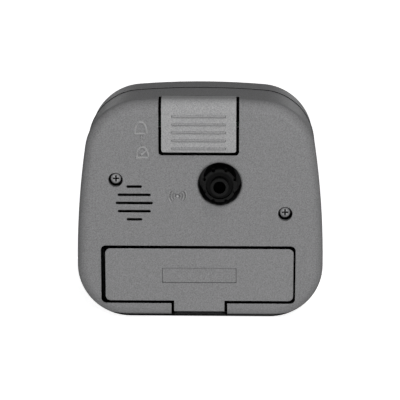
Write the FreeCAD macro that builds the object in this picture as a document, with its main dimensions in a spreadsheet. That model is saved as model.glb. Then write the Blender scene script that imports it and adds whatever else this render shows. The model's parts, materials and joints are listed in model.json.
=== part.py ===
import FreeCAD, Part
import math
import os
import re
import Sketcher

# Battery-powered talking alarm clock, about 84 mm wide, made of a moulded front frame and rear shell.
# Frame: millimetres, +Z up, the dial faces -Y, the battery door and the setting knob face +Y.
# The origin is the middle of the flat base that the clock stands on.

doc = FreeCAD.newDocument("TalkingClock")

# Driving dimensions, each a plain number in one cell of the sheet
SIZES = {
    # Housing: half outline of five tangent stretches, drawn in and crowned towards the top
    "body_width": 84.4,
    "body_height": 76.8,
    "body_depth": 38.0,
    "rear_depth": 22.5,
    "bottom_corner": 18.2,
    "side_radius": 280.0,
    "top_corner": 18.8,
    "crown_radius": 271.0,
    "rear_edge": 4.0,
    "front_edge": 3.0,
    "wall": 2.0,
    "seam_gap": 0.3,
    "lip_length": 1.6,
    "lip_wall": 0.95,
    "lip_gap": 0.1,
    # Clearances and the overrun of a cut past the face that it opens
    "overrun": 1.0,
    "running_fit": 0.06,
    "moving_gap": 0.3,
    "seat_gap": 0.1,
    # Dial window in the front
    "window_side": 7.22,
    "window_below": 16.0,
    "window_above": 8.8,
    "window_corner": 12.0,
    "window_slope": 1.2,
    "lens_lap": 2.0,
    "lens_thick": 1.5,
    "tunnel_wall": 1.2,
    "dial_front_depth": 10.0,
    "dial_thick": 0.8,
    "dial_bush_radius": 4.0,
    # Carrier plate behind the dial, and the screws that hold it to the front
    "carrier_thick": 1.5,
    "carrier_side": 0.72,
    "carrier_base": 4.2,
    "carrier_drop": 5.8,
    "carrier_corner": 13.0,
    "carrier_screw_side": 2.9,
    "carrier_screw_lift": 15.8,
    "carrier_screw_drop": 11.0,
    "boss_radius": 3.0,
    "carrier_boss_radius": 2.6,
    "pilot_radius": 0.95,
    "screw_boss_radius": 3.15,
    # Screws that close the housing from the rear
    "left_screw_side": 13.6,
    "left_screw_rise": 7.0,
    "right_screw_side": 13.2,
    "right_screw_drop": 4.6,
    "screw_well_radius": 2.45,
    "screw_head_radius": 1.75,
    "screw_head_height": 1.4,
    "screw_shank_radius": 0.9,
    "screw_length": 10.0,
    "screw_recess": 2.4,
    "screw_slot_width": 0.5,
    "screw_slot_depth": 0.7,
    "recess_share": 0.62,
    "boss_floor": 1.5,
    "carrier_screw_length": 6.0,
    # Alarm slider at the top edge of the rear face
    "slider_centre": 0.4,
    "slider_width": 25.2,
    "slider_side_gap": 1.0,
    "slider_height": 17.9,
    "slider_bottom_gap": 1.25,
    "slider_wrap": 6.6,
    "slider_wrap_gap": 0.4,
    "slider_wall": 2.0,
    "slider_proud": 1.2,
    "slider_top_proud": 0.5,
    "slider_top_edge": 3.2,
    "slider_corner": 0.8,
    "slot_corner": 1.1,
    "slider_travel": 4.5,
    "slider_flange": 2.6,
    "slider_flange_drop": 0.75,
    "slider_flange_height": 8.0,
    "slider_flange_thick": 1.3,
    "rib_width": 18.0,
    "rib_height": 0.9,
    "rib_tip": 0.15,
    "rib_proud": 0.42,
    "rib_pitch": 2.73,
    "rib_margin": 1.23,
    # Slide switch that the alarm slider works
    "switch_width": 9.0,
    "switch_height": 8.6,
    "switch_depth": 3.4,
    "switch_rise": 3.7,
    "lever_width": 2.0,
    "lever_height": 2.0,
    "lever_reach": 2.4,
    "fork_wall": 1.0,
    "fork_depth": 1.3,
    "switch_board_width": 41.0,
    "switch_board_height": 9.4,
    "board_thick": 1.2,
    "post_radius": 1.7,
    "post_spread": 18.6,
    # Setting knob in its round well
    "knob_x": -6.7,
    "knob_rise": 5.6,
    "well_radius": 7.3,
    "well_edge": 1.0,
    "well_wall": 1.0,
    "knob_radius": 5.65,
    "knob_proud": 2.2,
    "knob_hub_radius": 3.05,
    "knob_hub_proud": 2.5,
    "knob_bore_radius": 2.1,
    "knob_bore_depth": 5.0,
    "knob_rim": 1.0,
    "knob_dish": 1.6,
    "flute_radius": 0.6,
    "flute_depth": 4.2,
    "arbor_socket": 4.0,
    # Speaker behind its slotted grille
    "speaker_x": 22.3,
    "speaker_drop": 1.0,
    "speaker_radius": 6.9,
    "speaker_depth": 4.2,
    "speaker_wall": 0.8,
    "gasket_thick": 0.6,
    "cone_edge_radius": 5.6,
    "cone_neck_radius": 2.2,
    "cone_thick": 0.4,
    "magnet_radius": 3.8,
    "magnet_height": 1.8,
    "speaker_ring_height": 2.0,
    "speaker_ring_wall": 0.8,
    "grille_slot": 0.88,
    "grille_pitch": 2.86,
    "grille_radius": 6.3,
    # Battery bay, door and cell
    "door_centre": 0.2,
    "door_side": 10.0,
    "door_bottom": 6.5,
    "door_top": 25.0,
    "door_thick": 1.8,
    "door_corner": 1.7,
    "bay_shift": 0.4,
    "bay_side_gap": 1.1,
    "bay_bottom_gap": 0.95,
    "bay_top_gap": 1.0,
    "tab_width": 17.3,
    "tab_bottom": 2.7,
    "notch_width": 19.2,
    "notch_floor": 0.7,
    "notch_inner_floor": 1.6,
    "notch_depth": 3.6,
    "notch_wall": 1.2,
    "ledge_thick": 1.2,
    "tongue_width": 7.0,
    "tongue_spread": 21.0,
    "tongue_thick": 1.2,
    "tongue_reach": 1.9,
    "tongue_root": 2.6,
    "tongue_gap": 0.3,
    "tongue_slot_gap": 0.6,
    "tongue_swing": 4.3,
    "label_width": 25.4,
    "label_lift": 6.4,
    "label_height": 5.2,
    "label_depth": 0.2,
    "cell_radius": 7.1,
    "cell_length": 49.2,
    "cell_nub_radius": 2.6,
    "cell_nub_length": 1.3,
    "cell_edge": 0.5,
    "cell_gap": 0.5,
    "bay_length": 58.6,
    "bay_wall": 1.2,
    "contact_thick": 0.4,
    "contact_size": 11.0,
    "contact_dimple": 0.7,
    "contact_dimple_radius": 2.2,
    "spring_radius": 3.1,
    "spring_wire": 0.7,
    # Movement cases, inside which the hand train runs
    "movement_left": 21.0,
    "movement_lift": 2.6,
    "movement_drop": 2.6,
    "movement_corner": 2.5,
    "movement_wall": 1.0,
    "movement_front_depth": 3.0,
    "movement_depth": 15.3,
    "bush_reach": 0.6,
    "bridge_thick": 0.8,
    "module_reach": 2.5,
    # Coaxial tubes and arbors of the hands
    "alarm_tube_radius": 3.05,
    "hour_tube_radius": 2.45,
    "cannon_radius": 1.85,
    "second_radius": 0.8,
    "tube_wall": 0.54,
    "cannon_bore_radius": 0.86,
    "hand_gap": 0.8,
    "hand_thick": 0.4,
    # Wheels of the hand train, from the front plate rearwards
    "wheel_thick": 0.8,
    "wheel_gap": 0.4,
    "arbor_radius": 0.6,
    "set_arbor_radius": 1.0,
    "reduction_distance": 8.4,
    "reduction_angle": -30.0,
    "third_distance": 8.2,
    "third_angle": 200.0,
    # Hands
    "hour_hand_length": 15.0,
    "hour_hand_width": 3.0,
    "hour_hand_angle": 305.0,
    "minute_hand_length": 22.0,
    "minute_hand_width": 2.4,
    "minute_hand_angle": 60.0,
    "second_hand_length": 23.0,
    "second_hand_width": 0.7,
    "second_tail_length": 7.0,
    "second_hand_angle": 0.0,
    "alarm_hand_length": 11.0,
    "alarm_hand_width": 1.6,
    "alarm_hand_angle": 210.0,
    "hand_hub_rim": 1.3,
    "hand_tip_share": 0.3,
    "hand_tail_share": 0.22,
    # Antenna of the radio time signal
    "antenna_drop": 10.4,
    "antenna_reach": 7.3,
    "antenna_radius": 3.6,
    "antenna_length": 48.0,
    "coil_length": 20.0,
    "coil_radius": 4.4,
    "cradle_thick": 2.0,
    "cradle_width": 9.6,
    "cradle_spread": 17.0,
    # Main board with its voice chip, crystal and capacitor
    "main_board_inner": 23.0,
    "main_board_side": 6.2,
    "main_board_lift": 3.0,
    "main_board_drop": 15.8,
    "board_post_inset": 3.4,
    "board_post_drop": 6.0,
    "standoff_height": 1.6,
    "chip_width": 6.0,
    "chip_length": 9.0,
    "chip_height": 1.8,
    "chip_lift": 6.0,
    "crystal_radius": 1.0,
    "crystal_length": 6.0,
    "crystal_x": 34.0,
    "crystal_lift": 13.0,
    "capacitor_radius": 2.5,
    "capacitor_height": 7.0,
    "capacitor_x": 27.6,
    "capacitor_drop": 4.8,
    # Talk button bar below the window, with its board and switch
    "talk_width": 42.0,
    "talk_height": 6.4,
    "talk_z": 7.6,
    "talk_proud": 1.0,
    "talk_edge": 0.8,
    "talk_corner": 2.6,
    "talk_flange": 1.0,
    "talk_flange_thick": 1.0,
    "talk_travel": 0.8,
    "talk_stem_radius": 2.0,
    "talk_board_width": 40.0,
    "talk_board_height": 6.6,
    "talk_switch_size": 6.0,
    "talk_switch_depth": 2.4,
    "plunger_radius": 1.7,
}

# Tooth form as shares: addendum and dedendum of the module, half widths of the tooth's own pitch
ADDENDUM_SHARE = 0.9
DEDENDUM_SHARE = 1.2
TOOTH_ROOT_SHARE = 0.28
TOOTH_TIP_SHARE = 0.1

# Tolerance when an edge is picked by its place
NEAR = 1e-4

# Degrees in half a turn
HALF_TURN = 180.0

# How many of each, and the teeth of the wheels
GRILLE_SLOTS = 5
KNOB_FLUTES = 8
SLIDER_RIBS = 5
SPRING_TURNS = 4
SET_PINION_TEETH = 15
ALARM_WHEEL_TEETH = 45
HOUR_WHEEL_TEETH = 32
REDUCTION_PINION_TEETH = 8
REDUCTION_WHEEL_TEETH = 30
CANNON_PINION_TEETH = 10
CENTRE_WHEEL_TEETH = 64
THIRD_PINION_TEETH = 8
THIRD_WHEEL_TEETH = 60
SECOND_PINION_TEETH = 8

# Places worked out from the driving dimensions, as formulas in a second sheet
PLACES = {
    "half_width": "body_width / 2",
    "rear_face": "body_depth / 2",
    "front_face": "0 - body_depth / 2",
    "seam": "rear_face - rear_depth",
    "rear_inside": "rear_face - wall",
    "front_inside": "front_face + wall",
    "lip_inset": "lip_wall + lip_gap",
    "frame_end": "seam - seam_gap",
    "side_bow": "(carrier_top - bottom_corner) ^ 2 / (side_radius * 2)",
    "window_right": "half_width - side_bow - window_side",
    "window_left": "0 - window_right",
    "window_base": "window_below",
    "window_top": "body_height - window_above",
    "dial_height": "(window_base + window_top) / 2",
    "lens_rear": "front_inside + lens_thick",
    "dial_front": "front_face + dial_front_depth",
    "carrier_front": "dial_front + dial_thick",
    "carrier_rear": "carrier_front + carrier_thick",
    "carrier_half": "half_width - side_bow - carrier_side",
    "carrier_top": "body_height - carrier_drop",
    "carrier_screw_x": "carrier_half - carrier_screw_side",
    "carrier_screw_low": "carrier_base + carrier_screw_lift",
    "carrier_screw_high": "carrier_top - carrier_screw_drop",
    "left_screw_x": "half_width - left_screw_side",
    "left_screw_z": "dial_height + left_screw_rise",
    "right_screw_x": "right_screw_side - half_width",
    "right_screw_z": "dial_height - right_screw_drop",
    "screw_seat": "rear_face - screw_recess - screw_head_height",
    "pillar_end": "screw_seat - boss_floor",
    "slider_bottom": "body_height - slider_height",
    "slider_inner_top": "body_height - slider_wall",
    "switch_middle": "slider_bottom + switch_rise",
    "lever_z": "switch_middle - slider_travel / 2",
    "slider_left": "slider_centre - slider_width / 2",
    "slider_right": "slider_centre + slider_width / 2",
    "slot_left": "slider_left - slider_side_gap",
    "slot_right": "slider_right + slider_side_gap",
    "slot_bottom": "slider_bottom - slider_bottom_gap",
    "slot_front": "rear_face - slider_wrap - slider_wrap_gap",
    "flange_rear": "rear_inside - moving_gap",
    "flange_front": "flange_rear - slider_flange_thick",
    "fork_front": "flange_front - fork_depth",
    "switch_board_rear": "fork_front - moving_gap - switch_depth",
    "switch_board_front": "switch_board_rear - board_thick",
    "switch_rear": "switch_board_rear + switch_depth",
    "knob_z": "dial_height + knob_rise",
    "speaker_z": "dial_height - speaker_drop",
    "door_width": "body_width - door_side * 2",
    "bay_centre": "door_centre + bay_shift",
    "bay_left": "bay_centre - door_width / 2 - bay_side_gap",
    "bay_right": "bay_centre + door_width / 2 + bay_side_gap",
    "bay_base": "door_bottom - bay_bottom_gap",
    "bay_top": "door_top + bay_top_gap",
    "door_left": "door_centre - door_width / 2",
    "door_right": "door_centre + door_width / 2",
    "door_inside": "rear_face - door_thick",
    "hinge_z": "door_top + bay_top_gap / 2",
    "label_base": "door_bottom + label_lift",
    "label_top": "label_base + label_height",
    "cell_z": "(door_bottom + door_top) / 2",
    "cell_y": "door_inside - cell_gap - cell_radius",
    "trough_base": "cell_z - cell_radius - cell_gap",
    "trough_top": "cell_z + cell_radius + cell_gap",
    "trough_front": "cell_y - cell_radius - cell_gap",
    "trough_left": "bay_centre - bay_length / 2",
    "trough_right": "bay_centre + bay_length / 2",
    "cell_left": "trough_left + contact_thick + contact_dimple + cell_nub_length",
    "cell_right": "cell_left + cell_length",
    "movement_base": "bay_top + movement_lift",
    "movement_top": "antenna_z - coil_radius - movement_drop",
    "movement_back_y": "carrier_rear + movement_depth",
    "module_top": "dial_height + module_reach",
    "train_front": "carrier_rear + movement_wall",
    "alarm_layer": "train_front + wheel_gap",
    "hour_layer": "alarm_layer + wheel_thick + wheel_gap",
    "motion_layer": "hour_layer + wheel_thick + wheel_gap",
    "centre_layer": "motion_layer + wheel_thick + wheel_gap",
    "third_layer": "centre_layer + wheel_thick + wheel_gap",
    "train_rear": "third_layer + wheel_thick + wheel_gap",
    "reduction_x": "reduction_distance * cos(reduction_angle)",
    "reduction_z": "dial_height + reduction_distance * sin(reduction_angle)",
    "third_x": "third_distance * cos(third_angle)",
    "third_z": "dial_height + third_distance * sin(third_angle)",
    "set_distance": "sqrt(knob_x ^ 2 + (knob_z - dial_height) ^ 2)",
    "alarm_hand_rear": "dial_front - hand_gap",
    "hour_hand_rear": "alarm_hand_rear - hand_thick - hand_gap",
    "minute_hand_rear": "hour_hand_rear - hand_thick - hand_gap",
    "second_hand_rear": "minute_hand_rear - hand_thick - hand_gap",
    "alarm_hand_front": "alarm_hand_rear - hand_thick",
    "hour_hand_front": "hour_hand_rear - hand_thick",
    "minute_hand_front": "minute_hand_rear - hand_thick",
    "second_hand_front": "second_hand_rear - hand_thick",
    "arbor_front": "carrier_rear + wheel_gap",
    "arbor_rear": "train_rear + bridge_thick - running_fit",
    "movement_seam": "carrier_rear + movement_front_depth",
    "knob_base": "movement_back_y + moving_gap * 2",
    "speaker_mouth": "rear_inside - gasket_thick",
    "speaker_floor": "speaker_mouth - speaker_depth",
    "antenna_z": "body_height - antenna_drop",
    "antenna_y": "carrier_rear + antenna_reach",
    "main_board_outer": "half_width - main_board_side",
    "main_board_base": "bay_top + main_board_lift",
    "main_board_top": "body_height - main_board_drop",
    "chip_z": "main_board_base + chip_lift",
    "crystal_z": "main_board_base + crystal_lift",
    "capacitor_z": "main_board_top - capacitor_drop",
    "chip_x": "(main_board_inner + main_board_outer) / 2",
    "lever_root": "switch_rear - lever_reach / 2",
    "main_board_front": "carrier_rear + standoff_height",
    "main_board_rear": "main_board_front + board_thick",
    "talk_face": "front_face - talk_proud",
    "talk_flange_rear": "front_inside + talk_flange_thick",
    "talk_board_front": "carrier_front - board_thick",
    "talk_switch_front": "talk_board_front - talk_switch_depth",
    "plunger_front": "talk_switch_front - talk_travel - seat_gap",
    "plunger_rear": "talk_switch_front + seat_gap * 4",
}


def qualified(formula):
    """Return the formula with the sheet's name before each size or place in it."""

    def with_sheet(match):
        word = match.group(0)
        if word in SIZES:
            return "sizes." + word
        if word in PLACES:
            return "places." + word
        return word

    return re.sub(r"[a-z]+(?:_[a-z]+)*", with_sheet, formula)


def make_sheet(name, cells):
    """Make a sheet with one named cell for each entry."""
    sheet = doc.addObject("Spreadsheet::Sheet", name)
    for row, (alias, content) in enumerate(cells.items(), start=1):
        sheet.set(f"A{row}", alias.replace("_", " "))
        sheet.set(f"B{row}", content)
        sheet.setAlias(f"B{row}", alias)
    doc.recompute()
    return sheet


sizes = make_sheet("sizes", {name: str(number) for name, number in SIZES.items()})
places = make_sheet("places", {name: "=" + qualified(formula) for name, formula in PLACES.items()})


def value(name):
    """Return the number in a named cell of either sheet."""
    return float(sizes.get(name)) if name in SIZES else float(places.get(name))


def bind(thing, prop, formula):
    """Tie a property of an object to a formula of sizes and places."""
    thing.setExpression(prop, qualified(formula))


def start_body(label):
    """Start a sub-part whose label is its name."""
    body = doc.addObject("PartDesign::Body", label)
    body.Label = label
    return body


def sketch_on(body, role, offset):
    """Return an empty sketch on one of the body's own planes, moved along the plane's normal."""
    plane = next(item for item in body.Origin.OriginFeatures if item.Role == role)
    sketch = body.newObject("Sketcher::SketchObject", "profile")
    sketch.AttachmentSupport = [(plane, "")]
    sketch.MapMode = "FlatFace"
    bind(sketch, "AttachmentOffset.Base.z", offset)
    return sketch


def facing_sketch(body, depth):
    """Return an empty sketch seen from the front, at the given place along Y."""
    return sketch_on(body, "XZ_Plane", f"0 - ({depth})")


def constrain(sketch, kind, geometry, point, formula):
    """Tie a point's place, counted from the origin, or a radius to a formula.

    The constraint starts at the value that the drawing has, so that nothing jumps.
    """
    item = sketch.Geometry[geometry]
    if kind == "Radius":
        index = sketch.addConstraint(Sketcher.Constraint("Radius", geometry, item.Radius))
    else:
        spot = item.Center if point == 3 else item.StartPoint
        drawn = spot.x if kind == "DistanceX" else spot.y
        index = sketch.addConstraint(Sketcher.Constraint(kind, -1, 1, geometry, point, drawn))
    bind(sketch, f"Constraints[{index}]", formula)


def draw_polygon(sketch, corners):
    """Draw a closed polygon whose corners are pairs of formulas."""
    first = sketch.GeometryCount
    count = len(corners)
    turn = 2 * math.pi / count
    guess = [FreeCAD.Vector(math.cos(turn * step), math.sin(turn * step), 0) for step in range(count)]
    for step in range(count):
        sketch.addGeometry(Part.LineSegment(guess[step], guess[(step + 1) % count]), False)
    for step in range(count):
        following = first + (step + 1) % count
        sketch.addConstraint(Sketcher.Constraint("Coincident", first + step, 2, following, 1))
    for step, (across, up) in enumerate(corners):
        constrain(sketch, "DistanceX", first + step, 1, across)
        constrain(sketch, "DistanceY", first + step, 1, up)


def draw_rectangle(sketch, left, right, base, top):
    """Draw an upright rectangle."""
    draw_polygon(sketch, [(left, base), (right, base), (right, top), (left, top)])


def draw_circle(sketch, across, up, radius):
    """Draw a circle."""
    index = sketch.GeometryCount
    unit_circle = Part.Circle(FreeCAD.Vector(0, 0, 0), FreeCAD.Vector(0, 0, 1), 1)
    sketch.addGeometry(unit_circle, False)
    constrain(sketch, "DistanceX", index, 3, across)
    constrain(sketch, "DistanceY", index, 3, up)
    constrain(sketch, "Radius", index, 0, radius)


def pad(body, sketch, length):
    """Add material along the sketch's normal."""
    feature = body.newObject("PartDesign::Pad", "pad")
    feature.Profile = sketch
    bind(feature, "Length", length)
    return feature


def pocket(body, sketch, length):
    """Cut material against the sketch's normal."""
    feature = body.newObject("PartDesign::Pocket", "pocket")
    feature.Profile = sketch
    bind(feature, "Length", length)
    return feature


def add_block(body, left, right, front, rear, base, top):
    """Add a rectangular block between six planes."""
    sketch = facing_sketch(body, rear)
    draw_rectangle(sketch, left, right, base, top)
    return pad(body, sketch, f"({rear}) - ({front})")


def cut_block(body, left, right, front, rear, base, top):
    """Cut a rectangular block between six planes."""
    sketch = facing_sketch(body, front)
    draw_rectangle(sketch, left, right, base, top)
    return pocket(body, sketch, f"({rear}) - ({front})")


def add_round(body, across, up, radius, front, rear):
    """Add a cylinder that runs along Y."""
    sketch = facing_sketch(body, rear)
    draw_circle(sketch, across, up, radius)
    return pad(body, sketch, f"({rear}) - ({front})")


def cut_round(body, across, up, radius, front, rear):
    """Cut a cylinder that runs along Y."""
    sketch = facing_sketch(body, front)
    draw_circle(sketch, across, up, radius)
    return pocket(body, sketch, f"({rear}) - ({front})")


def round_edges(body, feature, radius, wanted):
    """Round the edges that the test picks, on a feature that is already worked out."""
    doc.recompute()
    names = [f"Edge{index}" for index, edge in enumerate(feature.Shape.Edges, start=1) if wanted(edge)]
    rounding = body.newObject("PartDesign::Fillet", "rounding")
    rounding.Base = (feature, names)
    bind(rounding, "Radius", radius)
    doc.recompute()
    return rounding


def runs_along(edge, axis):
    """Tell whether an edge is straight and runs along X, Y or Z, numbered 0, 1 and 2."""
    if edge.Curve.TypeId != "Part::GeomLine":
        return False
    return abs(abs(edge.tangentAt(edge.FirstParameter)[axis]) - 1) < NEAR


def at_depth(edge, depth):
    """Tell whether a whole edge lies at one place along Y."""
    box = edge.BoundBox
    return abs(box.YMin - depth) < NEAR and abs(box.YMax - depth) < NEAR


def draw_rounded(sketch, left, right, base, top, corner):
    """Draw an upright rectangle with round corners."""
    centres = [
        (f"({right}) - ({corner})", f"({base}) + ({corner})"),
        (f"({right}) - ({corner})", f"({top}) - ({corner})"),
        (f"({left}) + ({corner})", f"({top}) - ({corner})"),
        (f"({left}) + ({corner})", f"({base}) + ({corner})"),
    ]
    quarter = math.pi / 2
    for step in range(4):
        angle = quarter * (step - 0.5)
        middle = FreeCAD.Vector(math.cos(angle), math.sin(angle), 0) * 2
        circle = Part.Circle(middle, FreeCAD.Vector(0, 0, 1), 1)
        sketch.addGeometry(Part.ArcOfCircle(circle, quarter * (step - 1), quarter * step), False)
    for step in range(4):
        here = sketch.Geometry[step].EndPoint
        there = sketch.Geometry[(step + 1) % 4].StartPoint
        sketch.addGeometry(Part.LineSegment(here, there), False)
    for step in range(4):
        sketch.addConstraint(Sketcher.Constraint("Tangent", step, 2, 4 + step, 1))
        sketch.addConstraint(Sketcher.Constraint("Tangent", 4 + step, 2, (step + 1) % 4, 1))
    for step, (across, up) in enumerate(centres):
        constrain(sketch, "DistanceX", step, 3, across)
        constrain(sketch, "DistanceY", step, 3, up)
        constrain(sketch, "Radius", step, 0, corner)


def add_plate(body, left, right, front, rear, base, top, corner):
    """Add a block whose four corners, seen from the front, are round."""
    sketch = facing_sketch(body, rear)
    draw_rounded(sketch, left, right, base, top, corner)
    return pad(body, sketch, f"({rear}) - ({front})")


def cut_plate(body, left, right, front, rear, base, top, corner):
    """Cut a block whose four corners, seen from the front, are round."""
    sketch = facing_sketch(body, front)
    draw_rounded(sketch, left, right, base, top, corner)
    return pocket(body, sketch, f"({rear}) - ({front})")


def draw_housing(sketch, inset):
    """Draw the housing's outline, drawn in all round by the inset.

    The base is straight. A bottom corner, a gently bowed side, a top corner and a crown follow,
    each an arc that runs smoothly into the next, alike on both sides.
    """
    offset = value(inset) if inset else 0
    bottom_radius = value("bottom_corner")
    side_radius = value("side_radius")
    top_radius = value("top_corner")
    crown_radius = value("crown_radius")
    bottom_centre = FreeCAD.Vector(value("half_width") - bottom_radius, bottom_radius, 0)
    side_centre = FreeCAD.Vector(value("half_width") - side_radius, bottom_radius, 0)
    crown_centre = FreeCAD.Vector(0, value("body_height") - crown_radius, 0)
    # The top corner's centre lies where it touches both the side and the crown from within
    from_side = side_radius - top_radius
    from_crown = crown_radius - top_radius
    between = crown_centre - side_centre
    along = (from_side ** 2 - from_crown ** 2 + between.Length ** 2) / (2 * between.Length)
    aside = math.sqrt(from_side ** 2 - along ** 2)
    direction = FreeCAD.Vector(between).normalize()
    square = FreeCAD.Vector(direction.y, -direction.x, 0)
    spots = [side_centre + direction * along + square * (aside * sign) for sign in (1, -1)]
    top_centre = max(spots, key=lambda spot: spot.x + spot.y)

    def heading(start, end):
        return math.atan2(end.y - start.y, end.x - start.x)

    side_end = heading(side_centre, top_centre)
    top_end = heading(crown_centre, top_centre)
    arcs = [
        (bottom_centre, bottom_radius, -math.pi / 2, 0),
        (side_centre, side_radius, 0, side_end),
        (top_centre, top_radius, side_end, top_end),
        (crown_centre, crown_radius, top_end, math.pi - top_end),
    ]
    for centre, radius, begin, end in list(arcs[2::-1]):
        mirrored = FreeCAD.Vector(-centre.x, centre.y, 0)
        arcs.append((mirrored, radius, math.pi - end, math.pi - begin))
    for centre, radius, begin, end in arcs:
        circle = Part.Circle(centre, FreeCAD.Vector(0, 0, 1), radius - offset)
        sketch.addGeometry(Part.ArcOfCircle(circle, begin, end), False)
    last = len(arcs)
    sketch.addGeometry(Part.LineSegment(sketch.Geometry[last - 1].EndPoint, sketch.Geometry[0].StartPoint), False)
    for step in range(last):
        sketch.addConstraint(Sketcher.Constraint("Tangent", step, 2, step + 1, 1))
    sketch.addConstraint(Sketcher.Constraint("Tangent", last, 2, 0, 1))
    drawn_in = f" - {inset}" if inset else ""
    radii = ["bottom_corner", "side_radius", "top_corner", "crown_radius"]
    for step, name in enumerate(radii + radii[2::-1]):
        constrain(sketch, "Radius", step, 0, name + drawn_in)
    for step, sign in ((0, ""), (last - 1, "0 - ")):
        constrain(sketch, "DistanceX", step, 3, f"{sign}(half_width - bottom_corner)")
    for step in (0, 1, last - 2, last - 1):
        constrain(sketch, "DistanceY", step, 3, "bottom_corner")
    constrain(sketch, "DistanceX", 3, 3, "0")
    constrain(sketch, "DistanceY", 3, 3, "body_height - crown_radius")


def add_housing(body, inset, front, rear):
    """Add a slab of the housing's outline."""
    sketch = facing_sketch(body, rear)
    draw_housing(sketch, inset)
    return pad(body, sketch, f"({rear}) - ({front})")


def cut_housing(body, inset, front, rear):
    """Cut a slab of the housing's outline, drawn in by the inset."""
    sketch = facing_sketch(body, front)
    draw_housing(sketch, inset)
    return pocket(body, sketch, f"({rear}) - ({front})")


def cut_side_profile(body, left, right, corners):
    """Cut a profile drawn in the Y-Z plane, from left to right."""
    sketch = sketch_on(body, "YZ_Plane", right)
    draw_polygon(sketch, corners)
    return pocket(body, sketch, f"({right}) - ({left})")


def screw_places():
    """Return the two screws that close the housing, as formulas across and up."""
    return [("left_screw_x", "left_screw_z"), ("right_screw_x", "right_screw_z")]


def carrier_screw_places():
    """Return the four screws between the carrier and the front, as formulas across and up."""
    across = ("carrier_screw_x", "0 - carrier_screw_x")
    up = ("carrier_screw_low", "carrier_screw_high")
    return [(x, z) for x in across for z in up]


def grille_rows():
    """Return each grille slot's height offset and half length between its end centres."""
    rows = []
    for step in range(GRILLE_SLOTS):
        offset = f"(grille_pitch * {step - (GRILLE_SLOTS - 1) / 2})"
        half = f"(sqrt(grille_radius ^ 2 - {offset} ^ 2) - grille_slot / 2)"
        rows.append((offset, half))
    return rows


def make_rear_shell():
    """Rear half of the housing, with the bay, grille, knob well and slider opening."""
    body = start_body("rear_shell")
    slab = add_housing(body, "", "seam", "rear_face")
    round_edges(body, slab, "rear_edge", lambda edge: at_depth(edge, value("rear_face")))
    cut_housing(body, "wall", "seam", "rear_inside")
    # Rebate for the front frame's lip
    cut_housing(body, "lip_wall", "seam", "seam + lip_length + moving_gap")
    # Ledge round the battery bay and the trough that holds the cell
    sketch = facing_sketch(body, "rear_inside")
    draw_polygon(sketch, [
        ("bay_left - bay_wall", "bay_base + door_corner * 2"),
        ("bay_left + door_corner", "bay_base - bay_wall"),
        ("bay_right - door_corner", "bay_base - bay_wall"),
        ("bay_right + bay_wall", "bay_base + door_corner * 2"),
        ("bay_right + bay_wall", "bay_top + bay_wall"),
        ("bay_left - bay_wall", "bay_top + bay_wall"),
    ])
    pad(body, sketch, "ledge_thick")
    add_block(body, "trough_left - bay_wall", "trough_right + bay_wall", "trough_front - bay_wall",
              "rear_inside - ledge_thick / 2", "trough_base - bay_wall", "trough_top + bay_wall")
    # Box behind the finger notch
    add_block(body, "door_centre - notch_width / 2 - notch_wall", "door_centre + notch_width / 2 + notch_wall",
              "rear_face - notch_depth - notch_wall", "rear_inside", "wall / 2", "bay_base")
    # Bosses for the housing screws, posts for the switch board, ring round the speaker, knob collar
    for across, up in screw_places():
        add_round(body, across, up, "screw_boss_radius", "pillar_end", "rear_inside")
    for side in (-1, 1):
        add_round(body, f"slider_centre + post_spread * {side}", "switch_middle", "post_radius",
                  "switch_board_rear", "rear_inside")
    add_round(body, "speaker_x", "speaker_z", "speaker_radius + seat_gap + speaker_ring_wall",
              "rear_inside - speaker_ring_height", "rear_inside")
    cut_round(body, "speaker_x", "speaker_z", "speaker_radius + seat_gap",
              "rear_inside - speaker_ring_height - overrun", "rear_inside")
    add_round(body, "knob_x", "knob_z", "well_radius + well_wall", "movement_back_y + moving_gap", "rear_inside")
    # The ring round the speaker gives way to the screw boss beside it, whose wall is whole again
    add_round(body, "left_screw_x", "left_screw_z", "screw_boss_radius", "pillar_end", "rear_inside")
    # Openings through the rear wall
    cut_plate(body, "bay_left", "bay_right", "rear_inside", "rear_face + overrun", "bay_base", "bay_top",
              "door_corner")
    cut_block(body, "trough_left", "trough_right", "trough_front", "rear_inside + overrun", "trough_base",
              "trough_top")
    notch_left = "door_centre - notch_width / 2"
    notch_right = "door_centre + notch_width / 2"
    cut_side_profile(body, notch_left, notch_right, [
        ("rear_face - notch_depth", "notch_inner_floor"),
        ("rear_face - notch_depth", "bay_base"),
        ("rear_inside", "bay_base"),
        ("rear_inside", "bay_base + overrun"),
        ("rear_face + overrun", "bay_base + overrun"),
        ("rear_face + overrun", "notch_floor"),
    ])
    for side in (-1, 1):
        middle = f"door_centre + tongue_spread * {side}"
        cut_block(body, f"{middle} - tongue_width / 2 - tongue_slot_gap",
                  f"{middle} + tongue_width / 2 + tongue_slot_gap", "rear_face - tongue_swing", "rear_inside",
                  "hinge_z - tongue_swing", "door_top + tongue_reach + tongue_slot_gap")
    for across, up in screw_places():
        cut_round(body, across, up, "screw_well_radius", "screw_seat", "rear_face + overrun")
        cut_round(body, across, up, "screw_shank_radius + moving_gap", "pillar_end - overrun", "rear_face")
    cut_plate(body, "slot_left", "slot_right", "slot_front", "rear_face + overrun", "slot_bottom",
              "body_height + overrun + slot_corner", "slot_corner")
    cut_grille(body)
    well = cut_round(body, "knob_x", "knob_z", "well_radius", "movement_back_y", "rear_face + overrun")
    round_edges(body, well, "well_edge", is_well_mouth)
    return body


def is_well_mouth(edge):
    """Tell whether an edge is the round mouth of the knob well in the rear face."""
    if edge.Curve.TypeId != "Part::GeomCircle" or not at_depth(edge, value("rear_face")):
        return False
    return abs(edge.Curve.Radius - value("well_radius")) < NEAR


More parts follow.
